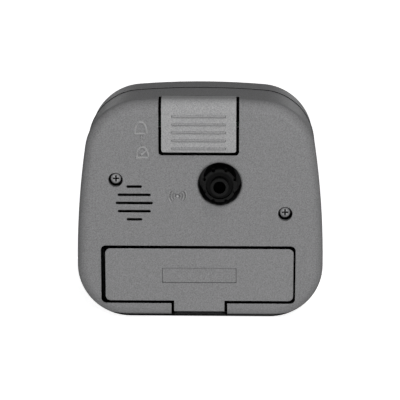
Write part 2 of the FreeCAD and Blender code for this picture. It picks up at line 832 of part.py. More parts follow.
def cut_grille(body):
    """Cut the speaker's slots, each a row with round ends within one circle."""
    straight = facing_sketch(body, "rear_inside - overrun")
    for offset, half in grille_rows():
        middle = f"speaker_z + {offset}"
        draw_rectangle(straight, f"speaker_x - {half}", f"speaker_x + {half}", f"{middle} - grille_slot / 2",
                       f"{middle} + grille_slot / 2")
    pocket(body, straight, "wall + overrun * 2")
    ends = facing_sketch(body, "rear_inside - overrun")
    for offset, half in grille_rows():
        for side in ("+", "-"):
            draw_circle(ends, f"speaker_x {side} {half}", f"speaker_z + {offset}", "grille_slot / 2")
    pocket(body, ends, "wall + overrun * 2")


def make_front_frame():
    """Front half of the housing: bezel, window tunnel, talk button opening and screw bosses."""
    body = start_body("front_frame")
    slab = add_housing(body, "", "front_face", "frame_end")
    round_edges(body, slab, "front_edge", lambda edge: at_depth(edge, value("front_face")))
    add_housing(body, "lip_inset", "front_inside", "seam + lip_length")
    cut_housing(body, "wall", "front_inside", "seam + lip_length + overrun")
    # Tunnel from the window back to the dial, with the lens and the dial inside it
    grown = "lens_lap + tunnel_wall"
    tunnel = facing_sketch(body, "carrier_front")
    draw_rounded(tunnel, f"window_left - {grown}", f"window_right + {grown}", f"window_base - {grown}",
                 f"window_top + {grown}", f"window_corner + {grown}")
    pad(body, tunnel, "carrier_front - front_inside")
    for across, up in carrier_screw_places():
        add_round(body, across, up, "carrier_boss_radius", "front_inside", "carrier_front")
    cut_plate(body, "window_left - lens_lap", "window_right + lens_lap", "front_inside", "carrier_front + overrun",
              "window_base - lens_lap", "window_top + lens_lap", "window_corner + lens_lap")
    for across, up in carrier_screw_places():
        cut_round(body, across, up, "pilot_radius", "carrier_front - carrier_screw_length + carrier_thick",
                  "carrier_front + overrun")
    cut_plate(body, "0 - talk_width / 2 - moving_gap", "talk_width / 2 + moving_gap", "front_face - overrun",
              "front_inside", "talk_z - talk_height / 2 - moving_gap", "talk_z + talk_height / 2 + moving_gap",
              "talk_corner + moving_gap")
    window = cut_plate(body, "window_left", "window_right", "front_face - overrun", "front_inside", "window_base",
                       "window_top", "window_corner")
    doc.recompute()
    names = [f"Edge{index}" for index, edge in enumerate(window.Shape.Edges, start=1) if is_window_mouth(edge)]
    slope = body.newObject("PartDesign::Chamfer", "slope")
    slope.Base = (window, names)
    bind(slope, "Size", "window_slope")
    return body


def is_window_mouth(edge):
    """Tell whether an edge belongs to the window's rim in the front face."""
    if not at_depth(edge, value("front_face")):
        return False
    box = edge.BoundBox
    widest = value("window_right") + NEAR
    within = box.XMax < widest and -box.XMin < widest
    return within and box.ZMin > value("window_base") - NEAR and box.ZMax < value("window_top") + NEAR


def make_window_lens():
    """Clear flat lens on the ledge behind the window."""
    body = start_body("window_lens")
    grown = "(lens_lap - seat_gap)"
    add_plate(body, f"window_left - {grown}", f"window_right + {grown}", "front_inside", "lens_rear",
              f"window_base - {grown}", f"window_top + {grown}", f"window_corner + {grown}")
    return body


def make_dial_plate():
    """Printed dial on the carrier's front, with a hole for the hands' tubes."""
    body = start_body("dial_plate")
    grown = "(lens_lap - seat_gap)"
    add_plate(body, f"window_left - {grown}", f"window_right + {grown}", "dial_front", "carrier_front",
              f"window_base - {grown}", f"window_top + {grown}", f"window_corner + {grown}")
    cut_round(body, "0", "dial_height", "dial_bush_radius + seat_gap", "dial_front - overrun",
              "carrier_front + overrun")
    return body


def make_dial_carrier():
    """Plate behind the dial that carries the movement, the boards, the antenna and the long pillars."""
    body = start_body("dial_carrier")
    add_plate(body, "0 - carrier_half", "carrier_half", "carrier_front", "carrier_rear",
              "carrier_base", "carrier_top", "carrier_corner")
    for across, up in screw_places():
        add_round(body, across, up, "boss_radius", "carrier_rear", "pillar_end")
    for across, up in board_post_places():
        add_round(body, across, up, "post_radius", "carrier_rear", "main_board_front")
    for side in (-1, 1):
        middle = f"cradle_spread * {side}"
        add_block(body, f"{middle} - cradle_thick / 2", f"{middle} + cradle_thick / 2", "carrier_rear", "antenna_y",
                  "antenna_z - cradle_width / 2", "antenna_z + cradle_width / 2")
    rod_seat = sketch_on(body, "YZ_Plane", "antenna_length / 2")
    draw_circle(rod_seat, "antenna_y", "antenna_z", "antenna_radius")
    pocket(body, rod_seat, "antenna_length")
    for across, up in screw_places():
        cut_round(body, across, up, "pilot_radius", "screw_seat - screw_length - overrun", "pillar_end + overrun")
    for across, up in carrier_screw_places():
        cut_round(body, across, up, "screw_shank_radius + seat_gap", "carrier_front - overrun",
                  "carrier_rear + overrun")
    cut_round(body, "0", "dial_height", "dial_bush_radius + seat_gap", "carrier_front - overrun",
              "carrier_rear + overrun")
    return body


def board_post_places():
    """Return the main board's two posts, as formulas across and up."""
    return [
        ("main_board_outer - board_post_inset", "main_board_base + board_post_inset"),
        ("main_board_outer - board_post_inset", "main_board_top - board_post_drop"),
    ]


def add_screw(body, across, up, seat, length):
    """Add a pan-head screw with a cross recess, whose head's underside lies at the seat."""
    add_round(body, across, up, "screw_shank_radius", f"{seat} - {length}", seat)
    add_round(body, across, up, "screw_head_radius", seat, f"{seat} + screw_head_height")
    reach = "screw_head_radius * recess_share"
    for wide, high in ((reach, "screw_slot_width / 2"), ("screw_slot_width / 2", reach)):
        cut_block(body, f"{across} - {wide}", f"{across} + {wide}", f"{seat} + screw_head_height - screw_slot_depth",
                  f"{seat} + screw_head_height + overrun", f"{up} - {high}", f"{up} + {high}")


def make_screws(label, spots, seat, length):
    """Make one node of like screws, each a separate solid."""
    bodies = []
    for across, up in spots:
        body = start_body("screw")
        add_screw(body, across, up, seat, length)
        bodies.append(body)
    group = doc.addObject("Part::Compound", label)
    group.Links = bodies
    return group


def make_battery_door():
    """Door with its finger tab at the bottom and two tongues that turn under the bay's upper edge."""
    body = start_body("battery_door")
    add_plate(body, "door_left", "door_right", "door_inside", "rear_face", "door_bottom", "door_top", "door_corner")
    add_block(body, "door_centre - tab_width / 2", "door_centre + tab_width / 2", "door_inside", "rear_face",
              "tab_bottom", "door_bottom + door_corner")
    for side in (-1, 1):
        middle = f"door_centre + tongue_spread * {side}"
        left = f"{middle} - tongue_width / 2"
        right = f"{middle} + tongue_width / 2"
        add_block(body, left, right, "rear_inside - tongue_gap - tongue_thick", "door_inside",
                  "door_top - tongue_root", "door_top")
        add_block(body, left, right, "rear_inside - tongue_gap - tongue_thick", "rear_inside - tongue_gap",
                  "door_top - tongue_root", "door_top + tongue_reach")
    cut_block(body, "door_centre - label_width / 2", "door_centre + label_width / 2", "rear_face - label_depth",
              "rear_face + overrun", "label_base", "label_top")
    return body


def make_alarm_slider():
    """Ribbed tab that wraps over the top edge and slides up to arm the alarm."""
    body = start_body("alarm_slider")
    side = sketch_on(body, "YZ_Plane", "slider_left")
    draw_polygon(side, [
        ("rear_inside", "slider_bottom"),
        ("rear_face + slider_proud", "slider_bottom"),
        ("rear_face + slider_top_proud", "body_height"),
        ("rear_face - slider_wrap", "body_height"),
        ("rear_face - slider_wrap", "body_height - slider_wall"),
        ("rear_inside", "body_height - slider_wall"),
    ])
    wrap = pad(body, side, "slider_width")
    lower = round_edges(body, wrap, "slider_corner", is_slider_corner)
    outer = round_edges(body, lower, "slider_top_edge", lambda edge: is_slider_edge(edge, "body_height"))
    round_edges(body, outer, "slider_top_edge - slider_wall",
                lambda edge: is_slider_edge(edge, "slider_inner_top"))
    add_block(body, "slider_left - slider_flange", "slider_right + slider_flange", "flange_front", "flange_rear",
              "slider_bottom - slider_flange_drop", "slider_bottom + slider_flange_height")
    add_block(body, "slider_left + slider_wall", "slider_right - slider_wall", "flange_front", "rear_inside",
              "slider_bottom - slider_flange_drop", "slider_bottom + slider_flange_height")
    fork_outer = "(lever_height / 2 + seat_gap + fork_wall)"
    fork_inner = "(lever_height / 2 + seat_gap)"
    for low, high in ((f"0 - {fork_outer}", f"0 - {fork_inner}"), (fork_inner, fork_outer)):
        add_block(body, "slider_centre - lever_width", "slider_centre + lever_width", "fork_front", "flange_front",
                  f"lever_z + {low}", f"lever_z + {high}")
    for step in range(SLIDER_RIBS):
        middle = f"(slider_bottom + rib_margin + rib_pitch * {step})"
        lean = f"(slider_proud + (slider_top_proud - slider_proud) * ({middle} - slider_bottom) / slider_height)"
        ridge = sketch_on(body, "YZ_Plane", "slider_centre - rib_width / 2")
        draw_polygon(ridge, [
            ("rear_face", f"{middle} - rib_height / 2"),
            (f"rear_face + {lean}", f"{middle} - rib_height / 2"),
            (f"rear_face + {lean} + rib_proud", f"{middle} - rib_tip / 2"),
            (f"rear_face + {lean} + rib_proud", f"{middle} + rib_tip / 2"),
            (f"rear_face + {lean}", f"{middle} + rib_height / 2"),
            ("rear_face", f"{middle} + rib_height / 2"),
        ])
        pad(body, ridge, "rib_width")
    return body


def is_slider_corner(edge):
    """Tell whether an edge is one of the slider's two bottom corners, seen from the rear."""
    return runs_along(edge, 1) and abs(edge.BoundBox.ZMax - value("slider_bottom")) < NEAR


def is_slider_edge(edge, height):
    """Tell whether an edge runs along X at the given height and at the slider's rear wall."""
    if not runs_along(edge, 0):
        return False
    box = edge.BoundBox
    return abs(box.ZMax - value(height)) < NEAR and box.YMin > value("rear_inside") - NEAR


def make_set_knob():
    """Fluted knob with a dished face and a bored hub."""
    body = start_body("set_knob")
    rim_face = "rear_face + knob_proud"
    hub_face = f"{rim_face} + knob_hub_proud"
    add_round(body, "knob_x", "knob_z", "knob_radius", "knob_base", rim_face)
    cut_round(body, "knob_x", "knob_z", "knob_radius - knob_rim", f"{rim_face} - knob_dish",
              f"{rim_face} + overrun")
    add_round(body, "knob_x", "knob_z", "knob_hub_radius", f"{rim_face} - knob_dish - overrun", hub_face)
    cut_round(body, "knob_x", "knob_z", "knob_bore_radius", f"{hub_face} - knob_bore_depth",
              f"{hub_face} + overrun")
    flutes = facing_sketch(body, f"{rim_face} - flute_depth")
    for step in range(KNOB_FLUTES):
        turn = 360 / KNOB_FLUTES * (step + 0.5)
        draw_circle(flutes, f"knob_x + knob_radius * cos({turn})", f"knob_z + knob_radius * sin({turn})",
                    "flute_radius")
    pocket(body, flutes, "flute_depth + overrun")
    cut_round(body, "knob_x", "knob_z", "set_arbor_radius", "knob_base - overrun", "knob_base + arbor_socket")
    return body


def mesh_module(distance, wheel_teeth, pinion_teeth):
    """Return the module that makes two wheels mesh at a distance between their centres."""
    return 2 * value(distance) / (wheel_teeth + pinion_teeth)


def disc(across, up, radius, front, rear):
    """Return a cylinder along Y between two depths."""
    return Part.makeCylinder(radius, rear - front, FreeCAD.Vector(across, front, up), FreeCAD.Vector(0, 1, 0))


def toothed(teeth, module, across, up, facing, gap_first, front):
    """Return a toothed wheel that stands at a place in the X-Z plane.

    A tooth points along the angle given by facing, or a gap does if gap_first is set.
    """
    pitch_radius = teeth * module / 2
    tip = pitch_radius + ADDENDUM_SHARE * module
    root = pitch_radius - DEDENDUM_SHARE * module
    pitch = 2 * math.pi / teeth
    start = math.radians(facing) + (pitch / 2 if gap_first else 0)
    outline = []
    for step in range(teeth):
        middle = start + pitch * step
        for radius, share in ((root, -TOOTH_ROOT_SHARE), (tip, -TOOTH_TIP_SHARE), (tip, TOOTH_TIP_SHARE),
                              (root, TOOTH_ROOT_SHARE)):
            angle = middle + share * pitch
            spot = FreeCAD.Vector(across + radius * math.cos(angle), front, up + radius * math.sin(angle))
            outline.append(spot)
    outline.append(outline[0])
    face = Part.Face(Part.makePolygon(outline))
    return face.extrude(FreeCAD.Vector(0, value("wheel_thick"), 0))


def make_turned(label, added, cut):
    """Make a wheel or arbor from solids that are added and solids that are cut away."""
    shape = added[0]
    for piece in added[1:]:
        shape = shape.fuse(piece)
    for piece in cut:
        shape = shape.cut(piece)
    feature = doc.addObject("Part::Feature", label)
    feature.Label = label
    feature.Shape = shape.removeSplitter()
    return feature


def arbor(across, up, radius):
    """Return an arbor between its bearings in the front plate and the bridge."""
    return disc(across, up, value(radius), value("arbor_front"), value("arbor_rear"))


def make_train():
    """Wheels that carry the hands: centre, third, second, reduction, hour and alarm."""
    height = value("dial_height")
    reduction = (value("reduction_x"), value("reduction_z"))
    third = (value("third_x"), value("third_z"))
    knob = (value("knob_x"), value("knob_z"))
    toward_reduction = value("reduction_angle")
    toward_third = value("third_angle")
    toward_knob = math.degrees(math.atan2(knob[1] - height, knob[0]))
    motion_module = mesh_module("reduction_distance", REDUCTION_WHEEL_TEETH, CANNON_PINION_TEETH)
    hour_module = mesh_module("reduction_distance", HOUR_WHEEL_TEETH, REDUCTION_PINION_TEETH)
    centre_module = mesh_module("third_distance", CENTRE_WHEEL_TEETH, THIRD_PINION_TEETH)
    second_module = mesh_module("third_distance", THIRD_WHEEL_TEETH, SECOND_PINION_TEETH)
    alarm_module = mesh_module("set_distance", ALARM_WHEEL_TEETH, SET_PINION_TEETH)
    thick = value("wheel_thick")
    fit = value("running_fit")
    reach = value("overrun")

    def tube(radius, front, layer):
        return disc(0, height, value(radius), value(front), value(layer) + thick)

    def bore(radius, front, layer):
        return disc(0, height, radius, value(front) - reach, value(layer) + thick + reach)

    alarm_bore = value("hour_tube_radius") + fit
    hour_bore = value("cannon_radius") + fit
    cannon_bore = value("second_radius") + fit
    wheels = {
        "alarm_wheel": make_turned("alarm_wheel", [
            toothed(ALARM_WHEEL_TEETH, alarm_module, 0, height, toward_knob, False, value("alarm_layer")),
            tube("alarm_tube_radius", "alarm_hand_front", "alarm_layer"),
        ], [bore(alarm_bore, "alarm_hand_front", "alarm_layer")]),
        "hour_wheel": make_turned("hour_wheel", [
            toothed(HOUR_WHEEL_TEETH, hour_module, 0, height, toward_reduction, False, value("hour_layer")),
            tube("hour_tube_radius", "hour_hand_front", "hour_layer"),
        ], [bore(hour_bore, "hour_hand_front", "hour_layer")]),
        "centre_wheel": make_turned("centre_wheel", [
            toothed(CENTRE_WHEEL_TEETH, centre_module, 0, height, toward_third, False, value("centre_layer")),
            toothed(CANNON_PINION_TEETH, motion_module, 0, height, toward_reduction, True, value("motion_layer")),
            tube("cannon_radius", "minute_hand_front", "hour_layer"),
            disc(0, height, value("arbor_radius") + value("cannon_radius") / 2, value("hour_layer"),
                 value("centre_layer") + thick),
        ], [bore(cannon_bore, "minute_hand_front", "centre_layer")]),
        "third_wheel": make_turned("third_wheel", [
            toothed(THIRD_WHEEL_TEETH, second_module, *third, toward_third + HALF_TURN, False, value("third_layer")),
            toothed(THIRD_PINION_TEETH, centre_module, *third, toward_third + HALF_TURN, True, value("centre_layer")),
            arbor(*third, "arbor_radius"),
        ], []),
        "second_arbor": make_turned("second_arbor", [
            toothed(SECOND_PINION_TEETH, second_module, 0, height, toward_third, True, value("third_layer")),
            disc(0, height, value("second_radius"), value("second_hand_front"), value("arbor_rear")),
        ], []),
        "reduction_wheel": make_turned("reduction_wheel", [
            toothed(REDUCTION_WHEEL_TEETH, motion_module, *reduction, toward_reduction + HALF_TURN, False,
                    value("motion_layer")),
            toothed(REDUCTION_PINION_TEETH, hour_module, *reduction, toward_reduction + HALF_TURN, True, value("hour_layer")),
            arbor(*reduction, "arbor_radius"),
        ], []),
        "set_arbor": make_turned("set_arbor", [
            toothed(SET_PINION_TEETH, alarm_module, *knob, toward_knob + HALF_TURN, True, value("alarm_layer")),
            disc(*knob, value("set_arbor_radius"), value("arbor_front"), value("knob_base") + value("arbor_socket")),
        ], []),
    }
    return list(wheels.values())


def turned_place(along, aside, angle):
    """Return a point on a hand, along and aside of it, as formulas across and up."""
    across = f"({along}) * sin({angle}) + ({aside}) * cos({angle})"
    up = f"dial_height + ({along}) * cos({angle}) - ({aside}) * sin({angle})"
    return across, up


def make_hand(label, name, tube_radius, front):
    """Make one hand: a hub on its tube, a blade that narrows to its tip, and a short tail."""
    body = start_body(label)
    rear = f"{front} + hand_thick"
    angle = f"{name}_angle"
    length = f"{name}_length"
    width = f"{name}_width"
    tail = "second_tail_length" if label == "second_hand" else f"{length} * hand_tail_share"
    tip = f"{width} / 2 * hand_tip_share"
    sketch = facing_sketch(body, rear)
    draw_polygon(sketch, [
        turned_place(f"0 - {tail}", f"0 - {width} / 2", angle),
        turned_place(length, f"0 - {tip}", angle),
        turned_place(length, tip, angle),
        turned_place(f"0 - {tail}", f"{width} / 2", angle),
    ])
    pad(body, sketch, "hand_thick")
    add_round(body, "0", "dial_height", f"{tube_radius} + hand_hub_rim", front, rear)
    cut_round(body, "0", "dial_height", tube_radius, f"{front} - overrun", f"{rear} + overrun")
    return body


def make_hands():
    """Make the four hands."""
    return [
        make_hand("alarm_hand", "alarm_hand", "alarm_tube_radius", "alarm_hand_front"),
        make_hand("hour_hand", "hour_hand", "hour_tube_radius", "hour_hand_front"),
        make_hand("minute_hand", "minute_hand", "cannon_radius", "minute_hand_front"),
        make_hand("second_hand", "second_hand", "second_radius", "second_hand_front"),
    ]


def arbor_places():
    """Return each arbor that turns in the movement's plates, as formulas across, up and radius."""
    return [
        ("reduction_x", "reduction_z", "arbor_radius"),
        ("third_x", "third_z", "arbor_radius"),
        ("knob_x", "knob_z", "set_arbor_radius"),
    ]


def make_movement_front_case():
    """Front half of the movement's case, with the bush that the hands' tubes turn in."""
    body = start_body("movement_front_case")
    add_plate(body, "0 - movement_left", "movement_left", "carrier_rear", "movement_seam", "movement_base",
              "movement_top", "movement_corner")
    cut_block(body, "movement_wall - movement_left", "movement_left - movement_wall", "train_front",
              "movement_seam + overrun", "movement_base + movement_wall", "movement_top - movement_wall")
    add_round(body, "0", "dial_height", "dial_bush_radius", "dial_front - bush_reach", "train_front")
    cut_round(body, "0", "dial_height", "alarm_tube_radius + running_fit", "dial_front - bush_reach - overrun",
              "train_front + overrun")
    for across, up, radius in arbor_places():
        cut_round(body, across, up, f"{radius} + running_fit", "carrier_rear - overrun", "train_front + overrun")
    return body


def make_movement_back_case():
    """Rear half of the movement's case, with the hole for the setting arbor."""
    body = start_body("movement_back_case")
    add_plate(body, "0 - movement_left", "movement_left", "movement_seam", "movement_back_y", "movement_base",
              "movement_top", "movement_corner")
    cut_block(body, "movement_wall - movement_left", "movement_left - movement_wall", "movement_seam - overrun",
              "movement_back_y - movement_wall", "movement_base + movement_wall", "movement_top - movement_wall")
    cut_round(body, "knob_x", "knob_z", "set_arbor_radius + running_fit", "movement_back_y - movement_wall * 2",
              "movement_back_y + overrun")
    return body


def make_train_bridge():
    """Plate across the case that carries the rear ends of the arbors."""
    body = start_body("train_bridge")
    add_block(body, "movement_wall + seat_gap - movement_left", "movement_left - movement_wall - seat_gap",
              "train_rear", "train_rear + bridge_thick", "movement_base + movement_wall + seat_gap",
              "movement_top - movement_wall - seat_gap")
    for across, up, radius in arbor_places() + [("0", "dial_height", "second_radius")]:
        cut_round(body, across, up, f"{radius} + running_fit", "train_rear - overrun",
                  "train_rear + bridge_thick + overrun")
    return body


def make_drive_module():
    """Closed block of the stepping motor and its electronics, between the bridge and the rear wall."""
    body = start_body("drive_module")
    add_block(body, "movement_wall + seat_gap - movement_left", "movement_left - movement_wall - seat_gap",
              "train_rear + bridge_thick", "movement_back_y - movement_wall",
              "movement_base + movement_wall + seat_gap", "module_top")
    return body


def make_speaker():
    """Small loudspeaker behind the grille: foam gasket, basket, cone and magnet."""
    gasket = start_body("speaker_gasket")
    add_round(gasket, "speaker_x", "speaker_z", "speaker_radius", "speaker_mouth", "rear_inside")
    cut_round(gasket, "speaker_x", "speaker_z", "speaker_radius - speaker_wall", "speaker_mouth - overrun",
              "rear_inside + overrun")
    frame = start_body("speaker_frame")
    add_round(frame, "speaker_x", "speaker_z", "speaker_radius", "speaker_floor", "speaker_mouth")
    cut_round(frame, "speaker_x", "speaker_z", "speaker_radius - speaker_wall", "speaker_floor + speaker_wall",
              "speaker_mouth + overrun")
    cone = start_body("speaker_cone")
    profile = sketch_on(cone, "XY_Plane", "speaker_z")
    bind(profile, "AttachmentOffset.Base.x", "speaker_x")
    draw_polygon(profile, [
        ("0", "speaker_floor + speaker_wall"),
        ("cone_neck_radius", "speaker_floor + speaker_wall"),
        ("speaker_radius - speaker_wall", "speaker_mouth - cone_thick"),
        ("speaker_radius - speaker_wall", "speaker_mouth"),
        ("cone_neck_radius", "speaker_floor + speaker_wall + cone_thick * 2"),
        ("0", "speaker_floor + speaker_wall + cone_thick * 2"),
    ])
    turn = cone.newObject("PartDesign::Revolution", "turn")
    turn.Profile = profile
    turn.ReferenceAxis = (profile, ["V_Axis"])
    magnet = start_body("speaker_magnet")
    add_round(magnet, "speaker_x", "speaker_z", "magnet_radius", "speaker_floor - magnet_height", "speaker_floor")
    return [gasket, frame, cone, magnet]


def make_switch():
    """Slide switch and its strip board, which the alarm slider works through its fork."""
    board = start_body("switch_board")
    add_block(board, "slider_centre - switch_board_width / 2", "slider_centre + switch_board_width / 2",
              "switch_board_front", "switch_board_rear", "switch_middle - switch_board_height / 2",
              "switch_middle + switch_board_height / 2")
    housing = start_body("switch_body")
    add_block(housing, "slider_centre - switch_width / 2", "slider_centre + switch_width / 2", "switch_board_rear",
              "switch_rear", "switch_middle - switch_height / 2", "switch_middle + switch_height / 2")
    cut_block(housing, "slider_centre - lever_width / 2 - seat_gap", "slider_centre + lever_width / 2 + seat_gap",
              "lever_root - seat_gap", "switch_rear + overrun", "lever_z - lever_height / 2 - seat_gap",
              "lever_z + slider_travel + lever_height / 2 + seat_gap")
    lever = start_body("switch_lever")
    add_block(lever, "slider_centre - lever_width / 2", "slider_centre + lever_width / 2", "lever_root",
              "flange_front - seat_gap", "lever_z - lever_height / 2", "lever_z + lever_height / 2")
    return [board, housing, lever]


def make_antenna():
    """Ferrite rod and its winding for the radio time signal."""
    rod = start_body("antenna_rod")
    section = sketch_on(rod, "YZ_Plane", "0 - antenna_length / 2")
    draw_circle(section, "antenna_y", "antenna_z", "antenna_radius")
    pad(rod, section, "antenna_length")
    coil = start_body("antenna_coil")
    ring = sketch_on(coil, "YZ_Plane", "0 - coil_length / 2")
    draw_circle(ring, "antenna_y", "antenna_z", "coil_radius")
    draw_circle(ring, "antenna_y", "antenna_z", "antenna_radius")
    pad(coil, ring, "coil_length")
    return [rod, coil]


def make_main_board():
    """Main circuit board beside the movement, with its voice chip, crystal and capacitor."""
    board = start_body("main_board")
    add_block(board, "main_board_inner", "main_board_outer", "main_board_front", "main_board_rear",
              "main_board_base", "main_board_top")
    cut_round(board, "left_screw_x", "left_screw_z", "boss_radius + moving_gap", "main_board_front - overrun",
              "main_board_rear + overrun")
    chip = start_body("voice_chip")
    add_block(chip, "chip_x - chip_width / 2", "chip_x + chip_width / 2", "main_board_rear",
              "main_board_rear + chip_height", "chip_z - chip_length / 2", "chip_z + chip_length / 2")
    crystal = start_body("quartz_crystal")
    add_round(crystal, "crystal_x", "crystal_z", "crystal_radius", "main_board_rear",
              "main_board_rear + crystal_length")
    capacitor = start_body("board_capacitor")
    add_round(capacitor, "capacitor_x", "capacitor_z", "capacitor_radius", "main_board_rear",
              "main_board_rear + capacitor_height")
    return [board, chip, crystal, capacitor]


def make_talk_key():
    """Talk button bar with its stem, the switch that it presses and the board behind."""
    button = start_body("talk_button")
    face = add_plate(button, "0 - talk_width / 2", "talk_width / 2", "talk_face", "front_inside + seat_gap",
                     "talk_z - talk_height / 2", "talk_z + talk_height / 2", "talk_corner")
    round_edges(button, face, "talk_edge", lambda edge: at_depth(edge, value("talk_face")))
    add_block(button, "0 - talk_width / 2 - talk_flange", "talk_width / 2 + talk_flange", "front_inside + seat_gap",
              "talk_flange_rear", "talk_z - talk_height / 2 - talk_flange", "talk_z + talk_height / 2 + talk_flange")
    add_round(button, "0", "talk_z", "talk_stem_radius", "talk_flange_rear", "plunger_front")
    board = start_body("talk_board")
    add_block(board, "0 - talk_board_width / 2", "talk_board_width / 2", "talk_board_front", "carrier_front",
              "talk_z - talk_board_height / 2", "talk_z + talk_board_height / 2")
    housing = start_body("talk_switch")
    add_block(housing, "0 - talk_switch_size / 2", "talk_switch_size / 2", "talk_switch_front", "talk_board_front",
              "talk_z - talk_switch_size / 2", "talk_z + talk_switch_size / 2")
    cut_round(housing, "0", "talk_z", "plunger_radius + running_fit", "talk_switch_front - overrun",
              "plunger_rear + talk_travel + seat_gap")
    plunger = start_body("talk_plunger")
    add_round(plunger, "0", "talk_z", "plunger_radius", "plunger_front", "plunger_rear")
    return [button, board, housing, plunger]


def make_battery():
    """AA cell, the plate at its positive end and the coil spring at its negative end."""
    cell = start_body("battery_cell")
    can = sketch_on(cell, "YZ_Plane", "cell_left")
    draw_circle(can, "cell_y", "cell_z", "cell_radius")
    barrel = pad(cell, can, "cell_length")
    round_edges(cell, barrel, "cell_edge", lambda edge: edge.Curve.TypeId == "Part::GeomCircle")
    nub = sketch_on(cell, "YZ_Plane", "cell_left - cell_nub_length")
    draw_circle(nub, "cell_y", "cell_z", "cell_nub_radius")
    pad(cell, nub, "cell_nub_length + cell_edge")
    plate = start_body("positive_contact")
    sheet = sketch_on(plate, "YZ_Plane", "trough_left")
    draw_rectangle(sheet, "cell_y - contact_size / 2", "cell_y + contact_size / 2", "cell_z - contact_size / 2",
                   "cell_z + contact_size / 2")
    pad(plate, sheet, "contact_thick")
    dimple = sketch_on(plate, "YZ_Plane", "trough_left")
    draw_circle(dimple, "cell_y", "cell_z", "contact_dimple_radius")
    pad(plate, dimple, "contact_thick + contact_dimple")
    return [cell, plate, make_battery_spring()]


def make_battery_spring():
    """Sheet contact with a coil spring of evenly spaced turns that presses on the cell."""
    wire = value("spring_wire") / 2
    radius = value("spring_radius")
    start = value("cell_right") + wire
    end = value("trough_right") - value("contact_thick")
    across = value("cell_y")
    up = value("cell_z")
    turns = SPRING_TURNS
    steps = turns * 4
    pitch = (end - start) / turns

    def spot(step):
        angle = math.pi / 2 * step
        forward = start + pitch * step / 4
        return FreeCAD.Vector(forward, across + radius * math.cos(angle), up + radius * math.sin(angle))

    arcs = [Part.Arc(spot(step), spot(step + 0.5), spot(step + 1)).toShape() for step in range(steps)]
    path = Part.Wire(arcs)
    begin = arcs[0].tangentAt(arcs[0].FirstParameter)
    ring = Part.Wire(Part.makeCircle(wire, spot(0), begin))
    coil = path.makePipeShell([ring], True, False)
    size = value("contact_size")
    corner = FreeCAD.Vector(value("trough_right") - value("contact_thick"), across - size / 2, up - size / 2)
    plate = Part.makeBox(value("contact_thick"), size, size, corner)
    print(f"Spring wire's gap to its next turn: {pitch - 2 * wire:.2f} mm")
    return make_turned("battery_spring", [coil, plate], [])


def build():
    """Build every sub-part and return them."""
    parts = [
        make_rear_shell(),
        make_front_frame(),
        make_window_lens(),
        make_dial_plate(),
        make_dial_carrier(),
        make_screws("housing_screws", screw_places(), "screw_seat", "screw_length"),
        make_carrier_screws(),
        make_battery_door(),
        make_alarm_slider(),
        make_set_knob(),
        make_movement_front_case(),
        make_movement_back_case(),
        make_train_bridge(),
        make_drive_module(),
    ]
    for group in (make_train, make_hands, make_speaker, make_switch, make_antenna, make_main_board, make_talk_key,
                  make_battery):
        parts.extend(group())
    doc.recompute()
    return parts


def make_carrier_screws():
    """Four screws that hold the carrier to the front frame, put in from behind."""
    return make_screws("carrier_screws", carrier_screw_places(), "carrier_rear", "carrier_screw_length")


def check(parts):
    """Stop if any object failed or any sub-part's shape is empty or not valid."""
    for item in doc.Objects:
        if "Invalid" in item.State or "Error" in item.State:
            raise ValueError(f"{item.Label} failed: {item.State}")
    for item in parts:
        if item.Shape.isNull() or not item.Shape.isValid():
            raise ValueError(f"{item.Label} has no valid shape")


def write(parts):
    """Write each sub-part's shape to a file with its name."""
    os.makedirs("parts", exist_ok=True)
    for item in parts:
        item.Shape.exportStep(f"parts/{item.Label}.step")
        print(f"{item.Label}: {len(item.Shape.Solids)} solid, {item.Shape.Volume:.1f} mm3")


sub_parts = build()
check(sub_parts)
write(sub_parts)
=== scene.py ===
import json
import math

import bpy
from mathutils import Matrix, Vector, geometry


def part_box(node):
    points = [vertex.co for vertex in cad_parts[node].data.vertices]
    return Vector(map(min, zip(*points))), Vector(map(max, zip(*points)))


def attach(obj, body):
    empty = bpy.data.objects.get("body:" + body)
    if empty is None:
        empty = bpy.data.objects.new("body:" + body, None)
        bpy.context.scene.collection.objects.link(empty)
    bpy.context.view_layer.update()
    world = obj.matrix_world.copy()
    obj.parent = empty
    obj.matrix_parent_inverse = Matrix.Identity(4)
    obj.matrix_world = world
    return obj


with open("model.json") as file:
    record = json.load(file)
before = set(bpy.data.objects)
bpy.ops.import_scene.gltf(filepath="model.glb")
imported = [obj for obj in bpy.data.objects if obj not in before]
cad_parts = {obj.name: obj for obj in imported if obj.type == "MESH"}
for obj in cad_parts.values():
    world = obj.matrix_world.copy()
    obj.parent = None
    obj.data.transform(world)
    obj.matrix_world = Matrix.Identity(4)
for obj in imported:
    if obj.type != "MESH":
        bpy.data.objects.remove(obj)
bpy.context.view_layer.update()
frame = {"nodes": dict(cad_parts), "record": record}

# Lengths are metres in the CAD frame: +Z up, the dial faces -Y, the rear faces +Y
MM = 0.001

nodes = frame["nodes"]
shell_low, shell_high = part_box("rear_shell")
dial_low, dial_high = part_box("dial_plate")
knob_low, knob_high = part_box("set_knob")
talk_low, talk_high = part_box("talk_button")
cell_low, cell_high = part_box("battery_cell")
REAR_Y = shell_high.y
MIDDLE = Vector((0, 0, 40 * MM))


# Materials

# Every noise is turned by this, so that no flat face of the object lies on a plane of its lattice
NOISE_TURN = (0.5, 0.7, 0.9)

# Levels at which a noise has its full effect down and up
NOISE_LOW = 0.3
NOISE_HIGH = 0.7
BEVEL_SAMPLES = 4
# Samples of the shade painted into gaps
SHADE_SAMPLES = 16

# Painted shade in gaps: a gap is painted black up to the first share of open surroundings, and isn't
# darkened from the second on
SHADE_BLACK_SHARE = 0.52
SHADE_OPEN_SHARE = 0.85


